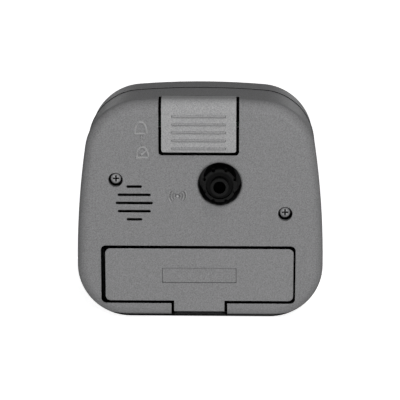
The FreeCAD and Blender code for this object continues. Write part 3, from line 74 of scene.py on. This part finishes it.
def start_material(name, colour, roughness, metallic=0.0):
    """Start a node material and return it with its tree and shader."""
    material = bpy.data.materials.new(name)
    material.use_nodes = True
    tree = material.node_tree
    shader = tree.nodes["Principled BSDF"]
    shader.inputs["Base Color"].default_value = (*colour, 1)
    shader.inputs["Roughness"].default_value = roughness
    shader.inputs["Metallic"].default_value = metallic
    return material, tree, shader


def object_noise(tree, size, detail=2.0):
    """Return a noise whose grains have the given size in metres."""
    where = tree.nodes.new("ShaderNodeTexCoord")
    turn = tree.nodes.new("ShaderNodeMapping")
    turn.inputs["Rotation"].default_value = NOISE_TURN
    noise = tree.nodes.new("ShaderNodeTexNoise")
    noise.inputs["Scale"].default_value = 1 / size
    noise.inputs["Detail"].default_value = detail
    tree.links.new(where.outputs["Object"], turn.inputs["Vector"])
    tree.links.new(turn.outputs["Vector"], noise.inputs["Vector"])
    return noise


def tint(tree, shader, noise, colour, spread, reach=0.0):
    """Vary the base colour about its value with a noise, and paint shade into it in gaps narrower than the
    reach.
    """
    ramp = tree.nodes.new("ShaderNodeValToRGB")
    dark, light = ramp.color_ramp.elements
    dark.position = NOISE_LOW
    dark.color = (*[channel * (1 - spread) for channel in colour], 1)
    light.position = NOISE_HIGH
    light.color = (*[channel * (1 + spread) for channel in colour], 1)
    tree.links.new(noise.outputs["Fac"], ramp.inputs["Fac"])
    if not reach:
        tree.links.new(ramp.outputs["Color"], shader.inputs["Base Color"])
        return
    # Painted shade: the colour is darkened where nearby surfaces close the surface in
    open_share = tree.nodes.new("ShaderNodeAmbientOcclusion")
    open_share.samples = SHADE_SAMPLES
    open_share.inputs["Distance"].default_value = reach
    level = tree.nodes.new("ShaderNodeMapRange")
    level.inputs["From Min"].default_value = SHADE_BLACK_SHARE
    level.inputs["From Max"].default_value = SHADE_OPEN_SHARE
    tree.links.new(open_share.outputs["AO"], level.inputs["Value"])
    shade = tree.nodes.new("ShaderNodeMix")
    shade.data_type = "RGBA"
    shade.blend_type = "MULTIPLY"
    shade.inputs["Factor"].default_value = 1.0
    tree.links.new(ramp.outputs["Color"], shade.inputs["A"])
    tree.links.new(level.outputs["Result"], shade.inputs["B"])
    tree.links.new(shade.outputs["Result"], shader.inputs["Base Color"])


def roughen(tree, shader, noise, low, high):
    """Vary the roughness between two values with a noise."""
    level = tree.nodes.new("ShaderNodeMapRange")
    level.inputs["From Min"].default_value = NOISE_LOW
    level.inputs["From Max"].default_value = NOISE_HIGH
    level.inputs["To Min"].default_value = low
    level.inputs["To Max"].default_value = high
    tree.links.new(noise.outputs["Fac"], level.inputs["Value"])
    tree.links.new(level.outputs["Result"], shader.inputs["Roughness"])


def emboss(tree, shader, noise, height, edge=0.0):
    """Add fine relief of the given height in metres, and soften sharp edges by a radius."""
    bump = tree.nodes.new("ShaderNodeBump")
    bump.inputs["Strength"].default_value = 1.0
    bump.inputs["Distance"].default_value = height
    tree.links.new(noise.outputs["Fac"], bump.inputs["Height"])
    if edge:
        bevel = tree.nodes.new("ShaderNodeBevel")
        bevel.samples = BEVEL_SAMPLES
        bevel.inputs["Radius"].default_value = edge
        tree.links.new(bevel.outputs["Normal"], bump.inputs["Normal"])
    tree.links.new(bump.outputs["Normal"], shader.inputs["Normal"])


PAINT_METALLIC = 0.08
PAINT_GLOSS = 0.0
PAINT_ROUGHNESS = 0.5
PAINT_SMOOTHEST = 0.47
PAINT_ROUGHEST = 0.53
PAINT_CLOUD = 6 * MM
PAINT_SPECK = 0.36 * MM
PAINT_SPECK_DETAIL = 3.0
PAINT_SPREAD = 0.24
PAINT_GRAIN = 0.3 * MM
PAINT_GRAIN_HEIGHT = 0.012 * MM
PAINT_EDGE = 0.25 * MM
# Reach of the shade painted into the paint's gaps and recesses
PAINT_SHADE_REACH = 2.4 * MM


def painted_plastic(name, colour, edge=PAINT_EDGE, reach=PAINT_SHADE_REACH):
    """Silver-grey paint on a finely sparked plastic moulding: nearly matt, with a fine speckle."""
    material, tree, shader = start_material(name, colour, PAINT_ROUGHNESS, PAINT_METALLIC)
    shader.inputs["Specular IOR Level"].default_value = PAINT_GLOSS
    tint(tree, shader, object_noise(tree, PAINT_SPECK, PAINT_SPECK_DETAIL), colour, PAINT_SPREAD, reach)
    roughen(tree, shader, object_noise(tree, PAINT_CLOUD), PAINT_SMOOTHEST, PAINT_ROUGHEST)
    emboss(tree, shader, object_noise(tree, PAINT_GRAIN), PAINT_GRAIN_HEIGHT, edge)
    return material


PLASTIC_TINT = 5 * MM
PLASTIC_SPREAD = 0.06
PLASTIC_GLOSS = 0.5
PLASTIC_CLOUD = 3 * MM
PLASTIC_SMOOTH_SHARE = 0.9
PLASTIC_ROUGH_SHARE = 1.1
PLASTIC_GRAIN = 0.25 * MM
PLASTIC_GRAIN_HEIGHT = 0.004 * MM
PLASTIC_EDGE = 0.12 * MM
# Reach of the shade painted into the plastic's gaps and recesses
PLASTIC_SHADE_REACH = 4 * MM


def moulded_plastic(name, colour, roughness, grain=PLASTIC_GRAIN, height=PLASTIC_GRAIN_HEIGHT,
                    edge=PLASTIC_EDGE, reach=PLASTIC_SHADE_REACH, gloss=PLASTIC_GLOSS, spread=PLASTIC_SPREAD):
    """Plain moulded plastic with a fine grain, which foam and the speaker's cone have coarser."""
    material, tree, shader = start_material(name, colour, roughness)
    shader.inputs["Specular IOR Level"].default_value = gloss
    tint(tree, shader, object_noise(tree, PLASTIC_TINT), colour, spread, reach)
    cloud = object_noise(tree, PLASTIC_CLOUD)
    roughen(tree, shader, cloud, roughness * PLASTIC_SMOOTH_SHARE, roughness * PLASTIC_ROUGH_SHARE)
    emboss(tree, shader, object_noise(tree, grain), height, edge)
    return material


METAL_TINT = 0.8 * MM
METAL_SPREAD = 0.1
METAL_CLOUD = 0.5 * MM
METAL_SMOOTH_SHARE = 0.8
METAL_ROUGH_SHARE = 1.3
METAL_GRAIN = 0.3 * MM
METAL_GRAIN_HEIGHT = 0.003 * MM
METAL_EDGE = 0.08 * MM
# Reach of the shade painted into the metal's gaps and recesses
METAL_SHADE_REACH = 2 * MM


def plated_metal(name, colour, roughness):
    """Plated or turned metal, slightly uneven in colour and shine."""
    material, tree, shader = start_material(name, colour, roughness, 1.0)
    tint(tree, shader, object_noise(tree, METAL_TINT), colour, METAL_SPREAD, METAL_SHADE_REACH)
    cloud = object_noise(tree, METAL_CLOUD)
    roughen(tree, shader, cloud, roughness * METAL_SMOOTH_SHARE, roughness * METAL_ROUGH_SHARE)
    emboss(tree, shader, object_noise(tree, METAL_GRAIN), METAL_GRAIN_HEIGHT, METAL_EDGE)
    return material


LENS_COLOUR = (0.97, 0.98, 0.98)
LENS_ROUGHNESS = 0.03
LENS_IOR = 1.49
LENS_WAVE = 20 * MM
LENS_WAVE_HEIGHT = 0.002 * MM


def clear_plastic(name):
    """Clear polished lens."""
    material, tree, shader = start_material(name, LENS_COLOUR, LENS_ROUGHNESS)
    shader.inputs["Transmission Weight"].default_value = 1.0
    shader.inputs["IOR"].default_value = LENS_IOR
    emboss(tree, shader, object_noise(tree, LENS_WAVE), LENS_WAVE_HEIGHT)
    return material


MATERIALS = {
    "case_silver": painted_plastic("case_silver", (0.225, 0.225, 0.228)),
    "door_silver": painted_plastic("door_silver", (0.233, 0.233, 0.236)),
    # The slider's paint is lighter than the case's: painted light for the extra light its face catches
    "slider_silver": painted_plastic("slider_silver", (0.33, 0.33, 0.333), edge=0.05 * MM),
    "clear_lens": clear_plastic("clear_lens"),
    "dial_white": moulded_plastic("dial_white", (0.85, 0.85, 0.83), 0.6, edge=0, reach=0, spread=0.015),
    "inner_white": moulded_plastic("inner_white", (0.7, 0.7, 0.68), 0.5),
    "screw_steel": plated_metal("screw_steel", (0.16, 0.16, 0.163), 0.3),
    "knob_black": moulded_plastic("knob_black", (0.005, 0.005, 0.005), 0.45, gloss=0.06),
    "movement_black": moulded_plastic("movement_black", (0.016, 0.016, 0.016), 0.45),
    "wheel_white": moulded_plastic("wheel_white", (0.72, 0.72, 0.68), 0.4),
    "arbor_steel": plated_metal("arbor_steel", (0.5, 0.5, 0.51), 0.28),
    "hand_black": moulded_plastic("hand_black", (0.014, 0.014, 0.014), 0.4),
    "hand_red": moulded_plastic("hand_red", (0.5, 0.02, 0.015), 0.4),
    "foam_black": moulded_plastic("foam_black", (0.012, 0.012, 0.012), 0.95,
                                  grain=0.4 * MM, height=0.08 * MM),
    "cone_black": moulded_plastic("cone_black", (0.01, 0.01, 0.01), 0.8,
                                  grain=0.3 * MM, height=0.02 * MM),
    "board_green": moulded_plastic("board_green", (0.012, 0.075, 0.03), 0.35),
    "ferrite": moulded_plastic("ferrite", (0.05, 0.05, 0.055), 0.5),
    "copper": plated_metal("copper", (0.55, 0.2, 0.07), 0.35),
    "cell_sleeve": moulded_plastic("cell_sleeve", (0.05, 0.07, 0.12), 0.25),
    "contact_nickel": plated_metal("contact_nickel", (0.6, 0.59, 0.55), 0.2),
}
# The signs' paint is lighter than the case's: a painted highlight for the light their raised flanks catch
SIGN_HIGHLIGHT_FINISH = painted_plastic("sign_painted_highlight", (0.38, 0.38, 0.383), edge=0, reach=0)
# Near-black matt finish of the bore's lining: painted shade deep in the knob's bore
BORE_SHADE_FINISH = moulded_plastic("bore_painted_shade", (0.001, 0.001, 0.001), 0.9, edge=0, reach=0, gloss=0)


def dress_nodes():
    """Give every CAD node the material of its slot."""
    for entry in frame["record"]["subparts"]:
        mesh = nodes[entry["node"]].data
        mesh.materials.clear()
        mesh.materials.append(MATERIALS[entry["material_slot"]])


# Camera, light and floor

CAMERA_AIM = Vector((-0.04 * MM, REAR_Y, 42.15 * MM))
CAMERA_DISTANCE = 620 * MM
CAMERA_AZIMUTH = -1.17
CAMERA_ELEVATION = 13.7
CAMERA_LENS = 164.4
CLIP_NEAR = 0.01
CLIP_FAR = 20

WORLD_WHITE = (1, 1, 1)
WORLD_LEVEL = 0.04
FLOOR_REACH = 3.0
FLOOR_COLOUR = (0.85, 0.85, 0.85)
FLOOR_GLOW = (0.86, 0.86, 0.86)
FLOOR_ROUGHNESS = 0.9

# Name, place, width and height in metres, and power in watts of each lamp
LAMPS = [
    ("key", (-0.45, 1.4, 0.22), 0.6, 0.3, 5.8),
    ("fill", (0.35, 1.5, 0.1), 0.5, 0.2, 4.8),
    ("upper", (-0.35, 1.25, 0.6), 0.6, 0.3, 2.6),
    ("top", (-0.3, 0.6, 1.15), 0.6, 0.3, 4.0),
    ("front", (-0.3, -1.4, 0.12), 0.2, 0.3, 3.6),
    ("front", (0.3, -1.4, 0.12), 0.2, 0.3, 3.6),
]


def make_camera():
    """Camera that looks at its aim, turned from the rear towards +X by its azimuth in degrees."""
    turn = math.radians(CAMERA_AZIMUTH)
    rise = math.radians(CAMERA_ELEVATION)
    away = Vector((math.sin(turn) * math.cos(rise), math.cos(turn) * math.cos(rise), math.sin(rise)))
    data = bpy.data.cameras.new("camera")
    data.lens = CAMERA_LENS
    data.clip_start = CLIP_NEAR
    data.clip_end = CLIP_FAR
    camera = bpy.data.objects.new("camera", data)
    camera.location = CAMERA_AIM + away * CAMERA_DISTANCE
    camera.rotation_mode = "QUATERNION"
    camera.rotation_quaternion = (-away).to_track_quat("-Z", "Y")
    bpy.context.collection.objects.link(camera)
    bpy.context.scene.camera = camera


def make_lamp(name, place, width, height, power):
    """Soft rectangular lamp that shines at the object's middle."""
    data = bpy.data.lights.new(name, "AREA")
    data.shape = "RECTANGLE"
    data.size = width
    data.size_y = height
    data.energy = power
    lamp = bpy.data.objects.new(name, data)
    lamp.location = place
    lamp.rotation_mode = "QUATERNION"
    lamp.rotation_quaternion = (MIDDLE - Vector(place)).to_track_quat("-Z", "Y")
    bpy.context.collection.objects.link(lamp)


def background_rays(tree):
    """Return 1 for the rays that see the background: from the camera, off a gloss or through the lens."""
    path = tree.nodes.new("ShaderNodeLightPath")
    seen = path.outputs["Is Camera Ray"]
    for kind in ("Is Glossy Ray", "Is Transmission Ray"):
        either = tree.nodes.new("ShaderNodeMath")
        either.operation = "MAXIMUM"
        tree.links.new(seen, either.inputs[0])
        tree.links.new(path.outputs[kind], either.inputs[1])
        seen = either.outputs[0]
    return seen


def make_world():
    """White behind the object wherever it is seen, and a dim level of light for the object."""
    world = bpy.data.worlds.new("studio")
    bpy.context.scene.world = world
    world.use_nodes = True
    tree = world.node_tree
    tree.nodes.clear()
    out = tree.nodes.new("ShaderNodeOutputWorld")
    background = tree.nodes.new("ShaderNodeBackground")
    background.inputs["Color"].default_value = (*WORLD_WHITE, 1)
    level = tree.nodes.new("ShaderNodeMapRange")
    level.inputs["To Min"].default_value = WORLD_LEVEL
    level.inputs["To Max"].default_value = 1.0
    tree.links.new(background_rays(tree), level.inputs["Value"])
    tree.links.new(level.outputs["Result"], background.inputs["Strength"])
    tree.links.new(background.outputs["Background"], out.inputs["Surface"])


def make_floor():
    """Pale floor that glows nearly white wherever it is seen and keeps the object's soft shadow."""
    corners = [(-1, -1), (1, -1), (1, 1), (-1, 1)]
    points = [(across * FLOOR_REACH, along * FLOOR_REACH, 0) for across, along in corners]
    mesh = bpy.data.meshes.new("floor")
    mesh.from_pydata(points, [], [tuple(range(len(points)))])
    floor = bpy.data.objects.new("floor", mesh)
    bpy.context.collection.objects.link(floor)
    material, tree, shader = start_material("floor_white", FLOOR_COLOUR, FLOOR_ROUGHNESS)
    shader.inputs["Emission Color"].default_value = (*FLOOR_GLOW, 1)
    tree.links.new(background_rays(tree), shader.inputs["Emission Strength"])
    mesh.materials.append(material)


# Helpers for pieces, where a part is a list of points and a list of faces

BEAD_STEPS = 8
BEAD_SINK = 0.03 * MM
ARC_STEPS = 12
DOT_CORNERS = 24
HALF_TURN = 180
FULL_TURN = 360

# Upright faces, each given as its depth and its outward side
REAR_FACE = (REAR_Y, 1)
TALK_FACE = (talk_low.y, -1)
DIAL_FACE = (dial_low.y, -1)


def add_piece(name, points, faces, body, slot, finish=None):
    """Make a mesh piece that rides on a body, in its slot's material or in a finish of its own."""
    mesh = bpy.data.meshes.new(name)
    mesh.from_pydata(points, [], faces)
    mesh.validate()
    mesh.materials.append(finish or MATERIALS[slot])
    piece = bpy.data.objects.new(name, mesh)
    bpy.context.collection.objects.link(piece)
    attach(piece, body)


def on_face(across, up, rise, face):
    """Return the point at a place on an upright face, raised from it by a height."""
    depth, side = face
    return (across, depth + side * rise, up)


def ring_faces(rings, corners, closed=True):
    """Return the faces between neighbouring rings of points, and from the last to the first if closed."""
    faces = []
    for index in range(rings if closed else rings - 1):
        here = index * corners
        there = (index + 1) % rings * corners
        for corner in range(corners):
            beside = (corner + 1) % corners
            faces.append((here + corner, here + beside, there + beside, there + corner))
    return faces


def bead(line, closed, width, height, face):
    """Return a rounded bead along a line on an upright face."""
    count = len(line)
    points = []
    for index, (across, up) in enumerate(line):
        before = line[index - 1] if closed or index else line[0]
        after = line[(index + 1) % count] if closed or index < count - 1 else line[-1]
        along = Vector((after[0] - before[0], after[1] - before[1])).normalized()
        for step in range(BEAD_STEPS + 1):
            share = 1 - 2 * step / BEAD_STEPS
            aside = share * width / 2
            rise = (1 + math.cos(math.pi * share)) / 2 * (height + BEAD_SINK) - BEAD_SINK
            points.append(on_face(across - along.y * aside, up + along.x * aside, rise, face))
    ring = BEAD_STEPS + 1
    faces = ring_faces(count, ring, closed)
    if not closed:
        faces.append(tuple(range(ring)))
        faces.append(tuple(range((count - 1) * ring, count * ring)))
    return points, faces


def plate(outline, low, high, face):
    """Return a flat shape between two heights over an upright face."""
    count = len(outline)
    points = [on_face(across, up, rise, face) for rise in (low, high) for across, up in outline]
    faces = [tuple(range(count)), tuple(range(count, 2 * count))]
    for index in range(count):
        beside = (index + 1) % count
        faces.append((index, beside, count + beside, count + index))
    return points, faces


def pyramid(outline, low, high, face):
    """Return a shape that rises to a point over its middle."""
    count = len(outline)
    across = sum(place[0] for place in outline) / count
    up = sum(place[1] for place in outline) / count
    points = [on_face(*place, low, face) for place in outline]
    points.append(on_face(across, up, high, face))
    faces = [(index, (index + 1) % count, count) for index in range(count)]
    faces.append(tuple(range(count)))
    return points, faces


def joined(parts):
    """Join several parts into one."""
    points = []
    faces = []
    for part_points, part_faces in parts:
        start = len(points)
        points.extend(part_points)
        faces.extend(tuple(start + corner for corner in face) for face in part_faces)
    return points, faces


def arc(centre, radius, start, end, steps):
    """Return places along an arc between two angles in degrees."""
    turns = [math.radians(start + (end - start) * step / steps) for step in range(steps + 1)]
    return [(centre[0] + radius * math.cos(turn), centre[1] + radius * math.sin(turn)) for turn in turns]


def dot(centre, radius, height, face):
    """Return a round raised dot."""
    outline = arc(centre, radius, 0, FULL_TURN - FULL_TURN / DOT_CORNERS, DOT_CORNERS - 1)
    return plate(outline, -BEAD_SINK, height, face)


def waves(centre, start, step, count, spread, width, height, face):
    """Return beads in arcs that spread to both sides of a place."""
    parts = []
    for ring in range(count):
        radius = start + step * ring
        for middle in (0, HALF_TURN):
            line = arc(centre, radius, middle - spread, middle + spread, ARC_STEPS)
            parts.append(bead(line, False, width, height, face))
    return parts


# Raised signs beside the alarm slider

SIGN_WIDTH = 0.86 * MM
SIGN_HEIGHT = 0.42 * MM
BELL_HALF_WIDTH = 1.97 * MM
BELL_CORNER = 0.25 * MM
BELL_ROUNDNESS = 0.94
BELL_STEPS = 24

# Middle of each bell's base, its height, and the angle over the base at which its dome starts
RING_BELL = (19.97 * MM, 65.0 * MM)
RING_BELL_HEIGHT = 4.0 * MM
RING_BELL_START = 4
SILENT_BELL = (19.43 * MM, 56.75 * MM)
SILENT_BELL_HEIGHT = 3.65 * MM
SILENT_BELL_START = 3
SILENT_BASE_REACH = 2.2 * MM

# Ends of the slash, as shares of the bell's half width and of its height
SLASH_SHARES = [(-0.76, 0.68), (0.27, 0.28)]

ARROW_GAP = 0.55 * MM
ARROW_SHIFT = 0.3 * MM
ARROW_LENGTH = 0.8 * MM
ARROW_HALF_WIDTH = 0.6 * MM
ARROW_HEIGHT = 0.5 * MM


def bell_line(base_middle, height, start):
    """Return a bell's dome from its +X side to its -X side, starting at an angle over its base."""
    line = []
    for step in range(BELL_STEPS + 1):
        turn = math.radians(start + (HALF_TURN - 2 * start) * step / BELL_STEPS)
        across = math.copysign(abs(math.cos(turn)) ** BELL_ROUNDNESS, math.cos(turn))
        rise = math.sin(turn) ** BELL_ROUNDNESS
        line.append((base_middle[0] + BELL_HALF_WIDTH * across, base_middle[1] + height * rise))
    return line


def add_bell_sign():
    """Raised bell where the alarm is on."""
    across, up = RING_BELL
    base_half = BELL_HALF_WIDTH - BELL_CORNER
    dome = bell_line(RING_BELL, RING_BELL_HEIGHT, RING_BELL_START)
    line = [*dome, (across - base_half, up), (across + base_half, up)]
    part = bead(line, True, SIGN_WIDTH, SIGN_HEIGHT, REAR_FACE)
    add_piece("bell_sign", *part, "housing", "case_silver", SIGN_HIGHLIGHT_FINISH)


def add_silent_bell_sign():
    """Raised crossed-out bell where the alarm is off: dome, base and slash."""
    across, up = SILENT_BELL
    dome = bell_line(SILENT_BELL, SILENT_BELL_HEIGHT, SILENT_BELL_START)
    base = [(across - SILENT_BASE_REACH, up), (across + SILENT_BASE_REACH, up)]
    slash = []
    for aside, rise in SLASH_SHARES:
        slash.append((across + BELL_HALF_WIDTH * aside, up + SILENT_BELL_HEIGHT * rise))
    parts = [bead(line, False, SIGN_WIDTH, SIGN_HEIGHT, REAR_FACE) for line in (dome, base, slash)]
    add_piece("silent_bell_sign", *joined(parts), "housing", "case_silver", SIGN_HIGHLIGHT_FINISH)


def arrowhead(tip, length):
    """Return a raised head with its tip at a place, which points up, or down if the length is negative."""
    base = tip[1] - length
    outline = [tip, (tip[0] - ARROW_HALF_WIDTH, base), (tip[0] + ARROW_HALF_WIDTH, base)]
    return pyramid(outline, -BEAD_SINK, ARROW_HEIGHT, REAR_FACE)


def add_alarm_arrow_sign():
    """Raised double arrow between the two bells."""
    high = (RING_BELL[0] - ARROW_SHIFT, RING_BELL[1] - ARROW_GAP)
    low = (SILENT_BELL[0], SILENT_BELL[1] + SILENT_BELL_HEIGHT + ARROW_GAP)
    shaft = bead([high, low], False, SIGN_WIDTH / 2, SIGN_HEIGHT / 2, REAR_FACE)
    parts = [shaft, arrowhead(high, ARROW_LENGTH), arrowhead(low, -ARROW_LENGTH)]
    add_piece("alarm_arrow_sign", *joined(parts), "housing", "case_silver", SIGN_HIGHLIGHT_FINISH)


# Raised signs for radio reception and for speech

RADIO_CENTRE = (7.6 * MM, 43.5 * MM)
RADIO_DOT = 0.42 * MM
RADIO_WAVE_WIDTH = 0.62 * MM
RADIO_START = 1.15 * MM
RADIO_STEP = 0.95 * MM
RADIO_COUNT = 3
RADIO_SPREAD = 42

TALK_CENTRE = (0.0, (talk_low.z + talk_high.z) / 2)
TALK_DOT = 0.55 * MM
TALK_HEIGHT = 0.26 * MM
TALK_WAVE_WIDTH = 0.45 * MM
TALK_START = 1.15 * MM
TALK_STEP = 0.85 * MM
TALK_COUNT = 2
TALK_SPREAD = 48


def add_radio_sign():
    """Raised generic sign for radio reception: a dot with arcs to both sides."""
    parts = [dot(RADIO_CENTRE, RADIO_DOT, SIGN_HEIGHT, REAR_FACE)]
    parts += waves(RADIO_CENTRE, RADIO_START, RADIO_STEP, RADIO_COUNT, RADIO_SPREAD,
                   RADIO_WAVE_WIDTH, SIGN_HEIGHT, REAR_FACE)
    add_piece("radio_sign", *joined(parts), "housing", "case_silver", SIGN_HIGHLIGHT_FINISH)


def add_talk_sign():
    """Raised generic sign for speech on the talk button: a dot with arcs to both sides."""
    parts = [dot(TALK_CENTRE, TALK_DOT, TALK_HEIGHT, TALK_FACE)]
    parts += waves(TALK_CENTRE, TALK_START, TALK_STEP, TALK_COUNT, TALK_SPREAD,
                   TALK_WAVE_WIDTH, TALK_HEIGHT, TALK_FACE)
    add_piece("talk_sign", *joined(parts), "talk", "slider_silver", SIGN_HIGHLIGHT_FINISH)


# Rim along the housing's seam

SEAM_GAP = 0.3 * MM
SEAM_TOLERANCE = 0.02 * MM
RIM_REACH = 1.5 * MM
RIM_RISE = 0.24 * MM

# The rim grows from nothing at the base to its full rise at this height
RIM_FADE = 4 * MM

# Crown of the rim's cross-section, as shares of its reach and of its rise
RIM_CROWN_SHARES = [(0.7, 0.8), (0.15, 1.0), (0.0, 0.75)]


def housing_outline(depth):
    """Return the housing's places and outward directions at a depth, from the shell's own points there."""
    shell = nodes["rear_shell"]
    flat = []
    for vertex in shell.data.vertices:
        place = shell.matrix_world @ vertex.co
        if abs(place.y - depth) < SEAM_TOLERANCE:
            flat.append(Vector((place.x, place.z)))
    hull = [flat[index] for index in geometry.convex_hull_2d(flat)]
    middle = Vector((MIDDLE.x, MIDDLE.z))
    outline = []
    for index, place in enumerate(hull):
        along = (hull[(index + 1) % len(hull)] - hull[index - 1]).normalized()
        outward = Vector((along.y, -along.x))
        if outward.dot(place - middle) < 0:
            outward = -outward
        outline.append((place, outward))
    return outline


def add_seam_rim():
    """Thin raised rim on the front frame's rear edge, which shows as the line of the seam."""
    frame_end = shell_low.y - SEAM_GAP
    profile = [(frame_end - RIM_REACH, -BEAD_SINK)]
    profile += [(frame_end - RIM_REACH * back, RIM_RISE * out) for back, out in RIM_CROWN_SHARES]
    profile.append((frame_end, -BEAD_SINK))
    outline = housing_outline(shell_low.y)
    points = []
    for place, outward in outline:
        share = min(1.0, max(0.0, place.y) / RIM_FADE)
        for depth, rise in profile:
            spot = place + outward * (rise * share)
            points.append((spot.x, depth, spot.y))
    add_piece("seam_rim", points, ring_faces(len(outline), len(profile)), "housing", "case_silver")


# Print on the dial

PRINT_RISE = 0.04 * MM
DIAL_CENTRE = (0.0, (dial_low.z + dial_high.z) / 2)
MINUTE_MARKS = 60
HOURS = 12
MARK_OUTER = 26.4 * MM
MINUTE_MARK_LENGTH = 1.3 * MM
HOUR_MARK_LENGTH = 2.6 * MM
MINUTE_MARK_WIDTH = 0.3 * MM
HOUR_MARK_WIDTH = 0.9 * MM
NUMERAL_RADIUS = 20.2 * MM
NUMERAL_SIZE = 6.4 * MM


def add_minute_marks():
    """Printed ring of minute marks, with a wider and longer mark at each hour."""
    parts = []
    for index in range(MINUTE_MARKS):
        is_hour = index % (MINUTE_MARKS // HOURS) == 0
        half = (HOUR_MARK_WIDTH if is_hour else MINUTE_MARK_WIDTH) / 2
        inner = MARK_OUTER - (HOUR_MARK_LENGTH if is_hour else MINUTE_MARK_LENGTH)
        turn = Matrix.Rotation(-math.tau * index / MINUTE_MARKS, 2)
        outline = []
        for corner in ((-half, inner), (half, inner), (half, MARK_OUTER), (-half, MARK_OUTER)):
            place = turn @ Vector(corner)
            outline.append((DIAL_CENTRE[0] + place.x, DIAL_CENTRE[1] + place.y))
        parts.append(plate(outline, 0, PRINT_RISE, DIAL_FACE))
    add_piece("minute_marks", *joined(parts), "housing", "hand_black")


def numeral_part(number):
    """Return one printed numeral, centred on its hour."""
    curve = bpy.data.curves.new("numeral", "FONT")
    curve.body = str(number)
    curve.size = NUMERAL_SIZE
    curve.align_x = "CENTER"
    curve.align_y = "CENTER"
    curve.extrude = PRINT_RISE / 2
    writing = bpy.data.objects.new("numeral", curve)
    bpy.context.collection.objects.link(writing)
    bpy.context.view_layer.update()
    mesh = bpy.data.meshes.new_from_object(writing)
    turn = math.tau * number / HOURS
    across = DIAL_CENTRE[0] + NUMERAL_RADIUS * math.sin(turn)
    up = DIAL_CENTRE[1] + NUMERAL_RADIUS * math.cos(turn)
    points = []
    for vertex in mesh.vertices:
        rise = vertex.co.z + PRINT_RISE / 2
        points.append(on_face(across + vertex.co.x, up + vertex.co.y, rise, DIAL_FACE))
    faces = [tuple(face.vertices) for face in mesh.polygons]
    bpy.data.objects.remove(writing)
    bpy.data.curves.remove(curve)
    bpy.data.meshes.remove(mesh)
    return points, faces


def add_numerals():
    """Printed hours from 1 to 12."""
    parts = [numeral_part(number) for number in range(1, HOURS + 1)]
    add_piece("dial_numerals", *joined(parts), "housing", "hand_black")


# Band round the cell, and a black lining of the knob's bore that is painted shade

CELL_SHOULDER = 1.9 * MM
BAND_LENGTH = 11 * MM
BAND_RISE = 0.04 * MM
BAND_STEPS = 48

KNOB_CENTRE = ((knob_low.x + knob_high.x) / 2, (knob_low.z + knob_high.z) / 2)
BORE_RADIUS = 2.07 * MM
BORE_DEPTH = 4.9 * MM
BORE_STEPS = 32


def add_cell_band():
    """Copper-coloured band round the positive end of the cell."""
    centre = Vector((0, (cell_low.y + cell_high.y) / 2, (cell_low.z + cell_high.z) / 2))
    radius = (cell_high.z - cell_low.z) / 2
    inner = radius - BAND_RISE
    outer = radius + BAND_RISE
    start = cell_low.x + CELL_SHOULDER
    end = start + BAND_LENGTH
    profile = [(start, outer), (end, outer), (end, inner), (start, inner)]
    points = []
    for step in range(BAND_STEPS):
        turn = math.tau * step / BAND_STEPS
        for across, reach in profile:
            points.append((across, centre.y + reach * math.cos(turn), centre.z + reach * math.sin(turn)))
    add_piece("cell_band", points, ring_faces(BAND_STEPS, len(profile)), "housing", "copper")


def add_bore_lining():
    """Matt black lining of the knob's deep bore, closed at its bottom: painted shade, a black cup that
    stands for the shade deep in the bore.
    """
    points = []
    for depth in (knob_high.y - BEAD_SINK, knob_high.y - BORE_DEPTH):
        for step in range(BORE_STEPS):
            turn = math.tau * step / BORE_STEPS
            across = KNOB_CENTRE[0] + BORE_RADIUS * math.cos(turn)
            up = KNOB_CENTRE[1] + BORE_RADIUS * math.sin(turn)
            points.append((across, depth, up))
    faces = [tuple(range(BORE_STEPS, 2 * BORE_STEPS))]
    faces += ring_faces(2, BORE_STEPS, closed=False)
    add_piece("bore_shade_lining", points, faces, "knob", "knob_black", BORE_SHADE_FINISH)


make_camera()
make_world()
make_floor()
for lamp in LAMPS:
    make_lamp(*lamp)
dress_nodes()
add_bell_sign()
add_silent_bell_sign()
add_alarm_arrow_sign()
add_radio_sign()
add_seam_rim()
add_minute_marks()
add_numerals()
add_talk_sign()
add_cell_band()
add_bore_lining()

bpy.context.scene.view_settings.view_transform = "Standard"
